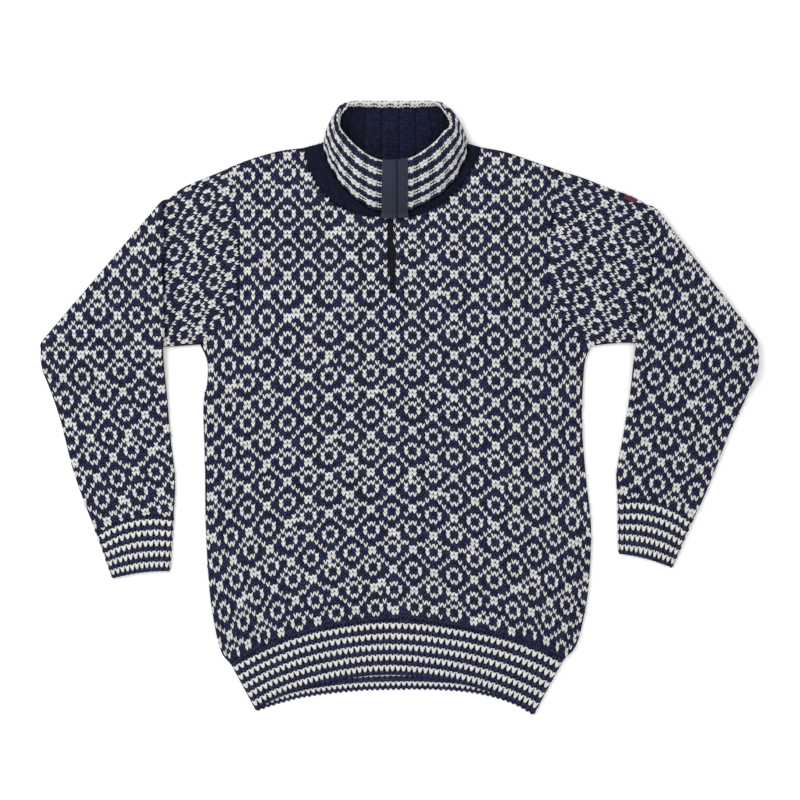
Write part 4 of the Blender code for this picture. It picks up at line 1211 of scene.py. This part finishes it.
def cuff_surface(side, inset, inner=False):
    """The face of a cuff as a function of places round and down it."""
    start = np.array(SLEEVES[side][-1][1:], float)
    end = np.array(CUFFS[side][:4])
    seam_bow, end_bow = CUFFS[side][4:]
    radius = TUBE_TOP / 2
    arc = math.pi * radius

    def surface(u, v):
        u = u % 1.0
        corners = lerp(start, end, v[:, None])
        top, under = corners[:, :2], corners[:, 2:]
        width = np.linalg.norm(under - top, axis=1)
        straight = width - 2.0 * radius
        run = u * (2.0 * straight + 2.0 * arc)
        relief = RIB_RELIEF * wave(u * CUFF_RIBS + 0.25)
        depth = np.full(len(u), WALL) if inner else relief + inset + 1.2 * ease((v - 0.93) / 0.07)
        thick = radius - depth
        first = run < straight
        second = ~first & (run < straight + arc)
        third = ~first & ~second & (run < 2.0 * straight + arc)
        angle = np.where(second, run - straight, run - 2.0 * straight - arc) / radius
        across = np.select([first, second, third],
                           [radius + run, width - radius + thick * np.sin(angle),
                            width - radius - (run - straight - arc)],
                           radius - thick * np.sin(angle))
        height = np.select([first, second, third],
                           [radius + thick, radius + thick * np.cos(angle), radius - thick],
                           radius - thick * np.cos(angle))
        share = across / width
        line = (under - top) / width[:, None]
        lengthwise = np.column_stack([-line[:, 1], line[:, 0]]) * np.sign(line[:, :1])
        lift = lerp(seam_bow, end_bow, v) * 4.0 * share * (1.0 - share) - SEAM * (1.0 - v)
        place = lerp(top, under, share[:, None]) + lengthwise * lift[:, None]
        return np.column_stack([place, height])

    return surface


def make_cuff(side):
    """A cuff's striped tube of rib and its stitches."""
    name = "cuff_" + side
    u = np.arange(6 * CUFF_RIBS) / (6.0 * CUFF_RIBS)
    surface = cuff_surface(side, SKIN)
    inner = grid_on(cuff_surface(side, 0.0, inner=True), u, RIB_ROWS)
    thing = wall(name + "_knit", grid_on(surface, u, RIB_ROWS), inner, len(u), NAVY_GROUND_WITH_PAINTED_SHADE,
                 name, closed=True, flip=side == "right")
    wool = Wool()
    dress_rib(wool, surface, (np.arange(CUFF_RIBS) + 0.25) / CUFF_RIBS, 1.0 / CUFF_RIBS,
              0.8 * YARN, flip=side == "left")
    return thing, wool.make(name)


# ------------------------------------------------------------------------ collar

COLLAR_ROWS = np.array(COLLAR, float)
COLLAR_STEPS = np.linalg.norm((np.roll(COLLAR_ROWS, -1, axis=0) - COLLAR_ROWS)[:, :6]
                              .reshape(-1, 2, 3), axis=2).mean(axis=1)
COLLAR_KEYS = np.concatenate([[0.0], np.cumsum(COLLAR_STEPS)[:-1]])
COLLAR_LENGTH = float(COLLAR_STEPS.sum())
COLLAR_HEIGHT = float(np.linalg.norm(COLLAR_ROWS[0, 3:6] - COLLAR_ROWS[0, :3]))
# The middles of the stripes round the collar, and where its rim starts, as shares of
# its height.
STRIPES = (0.115, 0.325, 0.545, 0.775)
RIM_SHARE = 0.955
STRIPE_COURSE = 4.0     # height of a course in a stripe, of which each stripe has two


def collar_point(turn, share):
    """The collar's outer face at turns round the neck and shares up."""
    turn, share = np.broadcast_arrays(np.asarray(turn, float), np.asarray(share, float))
    row = curve_at(COLLAR_ROWS, COLLAR_KEYS, turn, COLLAR_LENGTH)
    following = curve_at(COLLAR_ROWS, COLLAR_KEYS, turn + 1.0, COLLAR_LENGTH)
    base, rim = row[:, :3], row[:, 3:6]
    run = following[:, :3] + following[:, 3:6] - base - rim
    outward = unit(np.cross(run, rim - base))
    bulge = np.maximum(row[:, 6], 0.0) * 4.0 * share * (1.0 - share)
    return base + (rim - base) * share[:, None] + outward * bulge[:, None]


def collar_inward(turn, share):
    """The direction into the collar's cloth, square to its outer face."""
    run = collar_point(turn + 1.0, share) - collar_point(turn - 1.0, share)
    rise = (collar_point(turn, np.minimum(share + 0.02, 1.0))
            - collar_point(turn, np.maximum(share - 0.02, 0.0)))
    return unit(np.cross(rise, run))


def collar_outward(turn):
    """The level direction out of the collar's foot."""
    outward = -collar_inward(turn, 0.0)
    outward[:, 2] = 0.0
    return unit(outward)


def collar_at(turn, share, depth):
    """A place in the collar's cloth, at a depth inside its outer face."""
    turn, share, depth = np.broadcast_arrays(np.asarray(turn, float), np.asarray(share, float),
                                             np.asarray(depth, float))
    point = collar_point(turn, share) + collar_inward(turn, share) * depth[:, None]
    point[:, 2] = np.maximum(point[:, 2], 0.0)
    return point


def turn_at_x(x):
    """The turn at which the collar's front passes a place across."""
    turns = np.linspace(-45.0, 45.0, 721)
    return float(np.interp(x, collar_point(turns, 0.5)[:, 0], turns))


COLLAR_START = turn_at_x(ZIP_TOP_X + ZIP_GAP)
COLLAR_END = COLLAR_LENGTH + turn_at_x(ZIP_TOP_X - ZIP_GAP)
STATIONS = 4 * COLLAR_RIBS - 1           # four columns of stitches to a rib


def turn_of(station):
    return COLLAR_START + (COLLAR_END - COLLAR_START) * station / STATIONS


def collar_profile(inset):
    """Keys of run, with shares and depths, up the outer face and over the rim to the lip."""
    top = 1.0 - inset / COLLAR_HEIGHT
    rim = 1.0 - RIM_ROUND / COLLAR_HEIGHT
    deep = COLLAR_FULL + RIM_ROLL
    rows = [(share, inset) for share in np.linspace(0.0, rim, 24)]
    rows += [(rim + (top - rim) * math.sin(turn), 0.5 * deep - (0.5 * deep - inset) * math.cos(turn))
             for turn in np.radians(np.linspace(15.0, 165.0, 11))]
    rows += [(share, deep - inset)
             for share in np.linspace(rim, 1.0 - (RIM_LIP - 1.5) / COLLAR_HEIGHT, 5)]
    rows.append((1.0 - RIM_LIP / COLLAR_HEIGHT, COLLAR_FULL - inset))
    rows = np.array(rows)
    return chord_keys(rows * np.array((COLLAR_HEIGHT, 1.0))), rows


def collar_surface(inset):
    """The collar as a function of a rib station and a run up from its base."""
    keys, rows = collar_profile(inset)

    def surface(station, run):
        share, depth = along(rows, keys, run).T
        outer = np.clip(1.0 - (depth - inset) / (0.5 * COLLAR_FULL), 0.0, 1.0)
        relief = COLLAR_RELIEF * wave((station - 1.5) / 4.0) ** 1.5 * (0.35 + 0.65 * outer)
        sway = 0.3 * np.sin(station * 0.9 + run * 0.05) * ease(share)
        return collar_at(turn_of(station), share,
                         depth + relief * (depth < 0.5 * COLLAR_FULL) + sway)

    return surface, keys[-1]


def even_courses(start, end, tall, white):
    """Courses of about one height that fill a run."""
    count = max(1, round((end - start) / tall))
    tall = (end - start) / count
    return [(start + tall * (number + 0.5), tall, white) for number in range(count)]


def collar_courses(total):
    """(middle, height, whether off-white) per course, in millimetres of run.

    None is a course that is off-white in front and navy behind.
    """
    courses = []
    for share in STRIPES:
        middle = share * COLLAR_HEIGHT
        courses += even_courses(middle - STRIPE_COURSE, middle + STRIPE_COURSE, STRIPE_COURSE, True)
    for low, high in zip((0.0, *STRIPES), (*STRIPES, RIM_SHARE)):
        start = low * COLLAR_HEIGHT + (STRIPE_COURSE if low else 0.0)
        end = high * COLLAR_HEIGHT - (STRIPE_COURSE if high < RIM_SHARE else 0.0)
        courses += even_courses(start, end, 3.6, False)
    rim_start = RIM_SHARE * COLLAR_HEIGHT
    courses += [(rim_start + 2.0, 3.4, None), (rim_start + 5.1, 2.8, None)]
    return courses + even_courses(rim_start + 6.4, total, 4.6, True)


def make_collar():
    """The striped 2 x 2 rib of the collar and its stitches."""
    surface, total = collar_surface(SKIN)
    stations = np.linspace(0.0, STATIONS, 4 * STATIONS + 1)
    runs = np.concatenate([np.linspace(0.0, COLLAR_HEIGHT - 6.0, 12),
                           np.linspace(COLLAR_HEIGHT - 5.0, total, 12)])
    inner = grid_on(lambda station, share: collar_at(turn_of(station), share, WALL - 0.2), stations,
                    np.linspace(0.0, 1.0 - (RIM_LIP + 1.0) / COLLAR_HEIGHT, len(runs)))
    thing = wall("collar_knit", grid_on(surface, stations, runs), inner, len(stations), NAVY_GROUND_WITH_PAINTED_SHADE,
                 "collar")
    wool = Wool()
    ribs = 4.0 * np.arange(COLLAR_RIBS) + 3.5
    ribs = ribs[ribs < STATIONS - 1.0]
    for middle, high, white in collar_courses(total):
        pale = white is not False
        target = wool.white if pale else wool.navy
        for offset in (-0.62, 0.62):
            u = ribs + offset
            if white is None:
                behind = surface(u, np.full(len(u), middle))[:, 1] > RIM_BACK_Y
                knit(wool.navy, cells_on(surface, u[behind], middle, 1.22, high, True, True))
                u = u[~behind]
            knit(target, cells_on(surface, u, middle, 1.22, high, True, True),
                 full=1.2 if pale else 1.0, filled=np.full(len(u), pale))
        for offset in (1.62, 2.38):
            u = ribs + offset
            purl(target, cells_on(surface, u[u < STATIONS], middle, 0.9, high, True),
                 0.9 if white else 0.7, 0.8 * YARN)
    return thing, wool.make("collar", COLLAR_CREAM)


def make_lining():
    """The plain navy rib inside the collar, with painted shade on its ground and on its side
    stitches.
    """
    top = 1.0 - (RIM_LIP - 1.2) / COLLAR_HEIGHT
    stations = np.linspace(0.0, STATIONS, 3 * STATIONS + 1)
    shares = np.linspace(LINING_FOOT, top, 13)

    def lining_at(station, share, depth):
        """A place in the lining, which runs straight down below the collar's base."""
        point = collar_at(turn_of(station), np.maximum(share, 0.0), depth)
        point[:, 2] *= 1.0 + 8.0 * np.minimum(share, 0.0)
        return point

    def surface(station, share):
        valley = (1.0 - wave((station - 1.5) / 4.0)) ** 4
        return lining_at(station, share, COLLAR_FULL - SKIN - 1.9 * valley)

    outer = grid_on(lambda station, share: lining_at(station, share, WALL + LINING_GAP),
                    stations, shares)
    thing = wall("collar_lining_knit", grid_on(surface, stations, shares), outer, len(stations),
                 SHADE, "collar_lining", flip=True)
    navy, shaded = Stitches(), Stitches()
    columns = np.arange(1.5, STATIONS, 4.0)
    middle = surface(columns, 0.7)[:, 0]
    # Stitches outside the lit part take the darker lining wool, as painted shade.
    lit = (middle > LINING_LIT_X[0]) & (middle < LINING_LIT_X[1])
    for share in np.linspace(0.06, top - 0.03, 15):
        for offset in (-1.38, -0.46, 0.46, 1.38):
            cells = cells_on(surface, columns + offset, share, 0.92, 0.064, turned=True)
            knit(navy, only(cells, lit), 0.85 * YARN)
            knit(shaded, only(cells, ~lit), 0.85 * YARN)
    return thing, (navy.make("collar_lining_stitches", LINING, "lining_rib")
                   + shaded.make("collar_lining_painted_shade_stitches", LINING_PAINTED_SHADE, "lining_rib"))


# --------------------------------------------------------------------- neck band

BAND_STITCH = 4.4       # width of the band's stitches
BAND_ROWS = 6


def shoulder_turn(side):
    """The turn at which the collar crosses a shoulder."""
    corner = 6 if side == "right" else 15
    return 0.5 * (COLLAR_KEYS[corner] + COLLAR_KEYS[corner + 1])


def band_surface(side):
    """The face of the neck band, from the panel's seam in to the collar, and its length."""
    seam = LINES["neck_" + side]
    keys = chord_keys(seam)
    left = side == "left"
    zip_turn = turn_at_x(ZIP_TOP_X + (-SLIT_HALF if left else SLIT_HALF))
    side_turn = shoulder_turn(side) - (COLLAR_LENGTH if left else 0.0)

    def surface(u, v):
        u = np.clip(u, 0.0, 1.0)
        turn = lerp(zip_turn, side_turn, u)
        base = collar_point(turn, 0.0)
        inner = base + collar_outward(turn) * (2.0 * SEAM)
        place = lerp(along(seam, keys, u * keys[-1]), inner[:, :2], v[:, None])
        high = lerp(FRONT_LOW + WALL, np.maximum(base[:, 2], FRONT_LOW + EDGE_LIP + 1.0), v)
        ending = round_share((1.0 - u) * keys[-1])
        low = np.maximum(high - WALL, FRONT_LOW)
        roll = 1.1 * np.sin(math.pi * np.clip(v, 0.0, 1.0))
        relief = 0.45 * wave(u * keys[-1] / (2.0 * BAND_STITCH))
        high = low + EDGE_LIP + (high - low - EDGE_LIP - SKIN - relief + roll) * ending
        return np.column_stack([place, high])

    return surface, keys[-1]


def make_band(side):
    """The neck band on one side of the zip, and its stitches."""
    name = "neck_band_" + side
    surface, length = band_surface(side)
    u = np.linspace(0.0, 1.0, 110)
    upper = grid_on(surface, u, np.linspace(0.0, 1.0, 10))
    lower = upper.copy()
    lower[:, 2] = np.maximum(upper[:, 2] - WALL + SKIN, FRONT_LOW)
    thing = wall(name + "_knit", upper, lower, len(u), NAVY_GROUND_WITH_PAINTED_SHADE, name, flip=side == "left")
    navy = Stitches()
    count = round(length / BAND_STITCH)
    columns = (np.arange(count) + 0.5) / count
    for number in range(BAND_ROWS):
        centre, across, rise, normal = cells_on(surface, columns, (number + 0.5) / BAND_ROWS,
                                                1.05 * BAND_STITCH / length, 1.0 / BAND_ROWS,
                                                turned=True)
        across = across if side == "left" else -across
        knit(navy, (centre, across, rise, normal * np.sign(normal[:, 2:3])), 0.8 * YARN)
    return thing, navy.make(name + "_stitches", BAND, "navy_knit")


def make_back_band():
    """The hidden part of the band round the back of the neck."""
    seam = resample(BACK_NECKLINE, FINE)[::-1]
    turns = np.linspace(shoulder_turn("right"), shoulder_turn("left"), len(seam))
    base = collar_point(turns, 0.0)
    shares = np.linspace(0.0, 1.0, 6)[:, None]
    lift = (np.maximum(base[:, 2] - WALL, 0.0) * shares).ravel()
    flat = lerp(seam, base[:, :2] - np.array((0.0, 2.0 * SEAM)), shares[:, None]).reshape(-1, 2)
    ripple = np.tile(0.35 * wave(np.arange(len(seam)) / 2.0), len(shares))
    return wall("neck_band_back_knit", np.column_stack([flat, WALL - ripple + lift]),
                np.column_stack([flat, 0.35 - ripple]), len(seam), NAVY,
                "neck_band_back")


# -------------------------------------------------------------- ribbons and zip

def make_ribbon(side):
    """A grosgrain strip over the front edge, turned over the rim at its top."""
    from_x, to_x, crown, fine_ribs = RIBBONS[side]
    keys, rows = collar_profile(-0.1)
    turns = np.linspace(turn_at_x(from_x), turn_at_x(to_x), 41)
    runs = np.concatenate([np.linspace(-6.5, 0.0, 5), np.linspace(3.0, COLLAR_HEIGHT - 6.0, 22),
                           np.linspace(COLLAR_HEIGHT - 5.0, COLLAR_HEIGHT + 5.0, 14)])

    def face(turn, run, thick, fine):
        across = (turn - turns[0]) / (turns[-1] - turns[0])
        share, depth = along(rows, keys, run).T
        over = math.pi * np.clip(depth / COLLAR_FULL, 0.0, 1.0)
        lift = (SEAM + crown * np.sin(math.pi * across) ** 0.8 + thick
                + fine * np.cos(2.0 * math.pi * across * fine_ribs))
        upward = unit(collar_point(turn, 1.0) - collar_point(turn, 0.9))
        return (collar_at(turn, share, depth - lift * np.cos(over))
                + upward * (thick * np.sin(over))[:, None]
                + collar_outward(turn) * np.maximum(-run, 0.0)[:, None])

    outer = grid_on(lambda turn, run: face(turn, run, RIBBON_WALL, 0.35), turns, runs)
    inner = grid_on(lambda turn, run: face(turn, run, 0.0, 0.0), turns, runs)
    return wall("ribbon_" + side + "_grosgrain", outer, inner, len(turns), RIBBON,
                "ribbon_" + side)


def tube_along(path, normal, radius, sides):
    """A round tube along a path."""
    run = unit(np.gradient(path, axis=0))
    side = unit(np.cross(run, normal))
    up = np.cross(side, run)
    angle = np.linspace(0.0, 2.0 * math.pi, sides, endpoint=False)[None, :, None]
    ring = side[:, None] * np.cos(angle) + up[:, None] * np.sin(angle)
    return (path[:, None] + radius * ring).reshape(-1, 3), grid_quads(len(path), sides, closed=True)


def make_zip():
    """The two closed rows of the nylon coil, in the slit and under the ribbon."""
    y = np.linspace(SLIT_END_Y + 1.5, SLIT_TOP_Y - 1.0, 40)
    low = np.column_stack([zip_x(y), y, np.full(len(y), FRONT_LOW + FRONT_PUFF + 1.0)])
    share = np.linspace(0.03, 0.86, 30)
    inward = collar_inward(0.0, share)
    path = np.vstack([low, collar_point(0.0, share) + inward * (SEAM + 1.0)])
    up = unit(np.vstack([np.tile((0.0, 0.0, 1.0), (len(y), 1)), -inward]))
    keys = chord_keys(path)
    place = np.arange(0.0, keys[-1], COIL_PITCH / 8.0)
    facing = unit(along(up, keys, place))
    points, faces = [], []
    for number, sign in enumerate((-1.0, 1.0)):
        angle = 2.0 * math.pi * place / COIL_PITCH + math.pi * number
        coil = along(path, keys, place) + facing * (0.72 * np.sin(angle))[:, None]
        coil[:, 0] += sign * (0.75 + 1.0 * np.cos(angle))
        part, quads = tube_along(coil, facing, 0.27, 4)
        points.append(part)
        faces.append(quads + number * len(part))
    return piece("zip_coil_teeth", np.vstack(points), [np.vstack(faces)], COIL,
                 ("zip_coil",))


# ------------------------------------------------------------------------- build

front_outline = body_outline(True)
back_outline = body_outline(False)
front, front_tree = panel("front_panel", front_outline, front_heights, True)
back, back_tree = panel("back_panel", back_outline, back_heights, False)
front_stitches = dress_panel("front_panel", front_tree, front_outline, True)
back_stitches = dress_panel("back_panel", back_tree, back_outline, False)

for side in SIDES:
    sleeve, sleeve_stitches, sleeve_tree = make_sleeve(side)
    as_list(sleeve_stitches)
    cuff, cuff_stitches = make_cuff(side)
    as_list(cuff_stitches)
    band, band_stitches = make_band(side)
    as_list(band_stitches)

for is_front in (True, False):
    hem, hem_stitches = make_hem(is_front)
    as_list(hem_stitches)

collar, collar_stitches = make_collar()
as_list(collar_stitches)
lining, lining_stitches = make_lining()
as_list(lining_stitches)
back_band = make_back_band()
make_ribbon("left")
make_ribbon("right")
make_zip()
make_tab(sleeve_tree)

for node, material in (("zip_tape_left", TAPE), ("zip_tape_right", TAPE), ("zip_slider", METAL)):
    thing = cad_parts[node]
    thing.data.materials.clear()
    thing.data.materials.append(material)

# ------------------------------------------------------------- floor, light, view

FLOOR, _, shade_floor = new_material("pale floor")
shade_floor({"Base Color": (0.93, 0.93, 0.93, 1.0), "Roughness": 0.9})
floor_mesh = bpy.data.meshes.new("floor")
floor_mesh.from_pydata([(-6, -6, -0.0006), (6, -6, -0.0006), (6, 6, -0.0006), (-6, 6, -0.0006)],
                       [], [(0, 1, 2, 3)])
floor_mesh.materials.append(FLOOR)
floor = add_object("floor", floor_mesh)

world = bpy.data.worlds.new("studio")
world.use_nodes = True
world.node_tree.nodes["Background"].inputs["Color"].default_value = (1.0, 1.0, 1.0, 1.0)
world.node_tree.nodes["Background"].inputs["Strength"].default_value = 0.80
bpy.context.scene.world = world

LAMPS = [
    # name, place, size, power
    ("key", (-1.2, 1.1, 1.8), 1.6, 36.0),
    ("fill", (0.6, -1.6, 2.0), 1.6, 17.0),
]
for name, place, size, power in LAMPS:
    lamp = bpy.data.lights.new(name, "AREA")
    lamp.size = size
    lamp.energy = power
    thing = add_object(name, lamp)
    thing.location = place
    thing.rotation_euler = (-Vector(place)).to_track_quat("-Z", "Y").to_euler()

camera_data = bpy.data.cameras.new("camera")
camera_data.lens = 85.0
camera = add_object("camera", camera_data)
camera.location = (0.0007, 0.009, 2.4995)
bpy.context.scene.camera = camera
bpy.context.scene.view_settings.view_transform = "Standard"
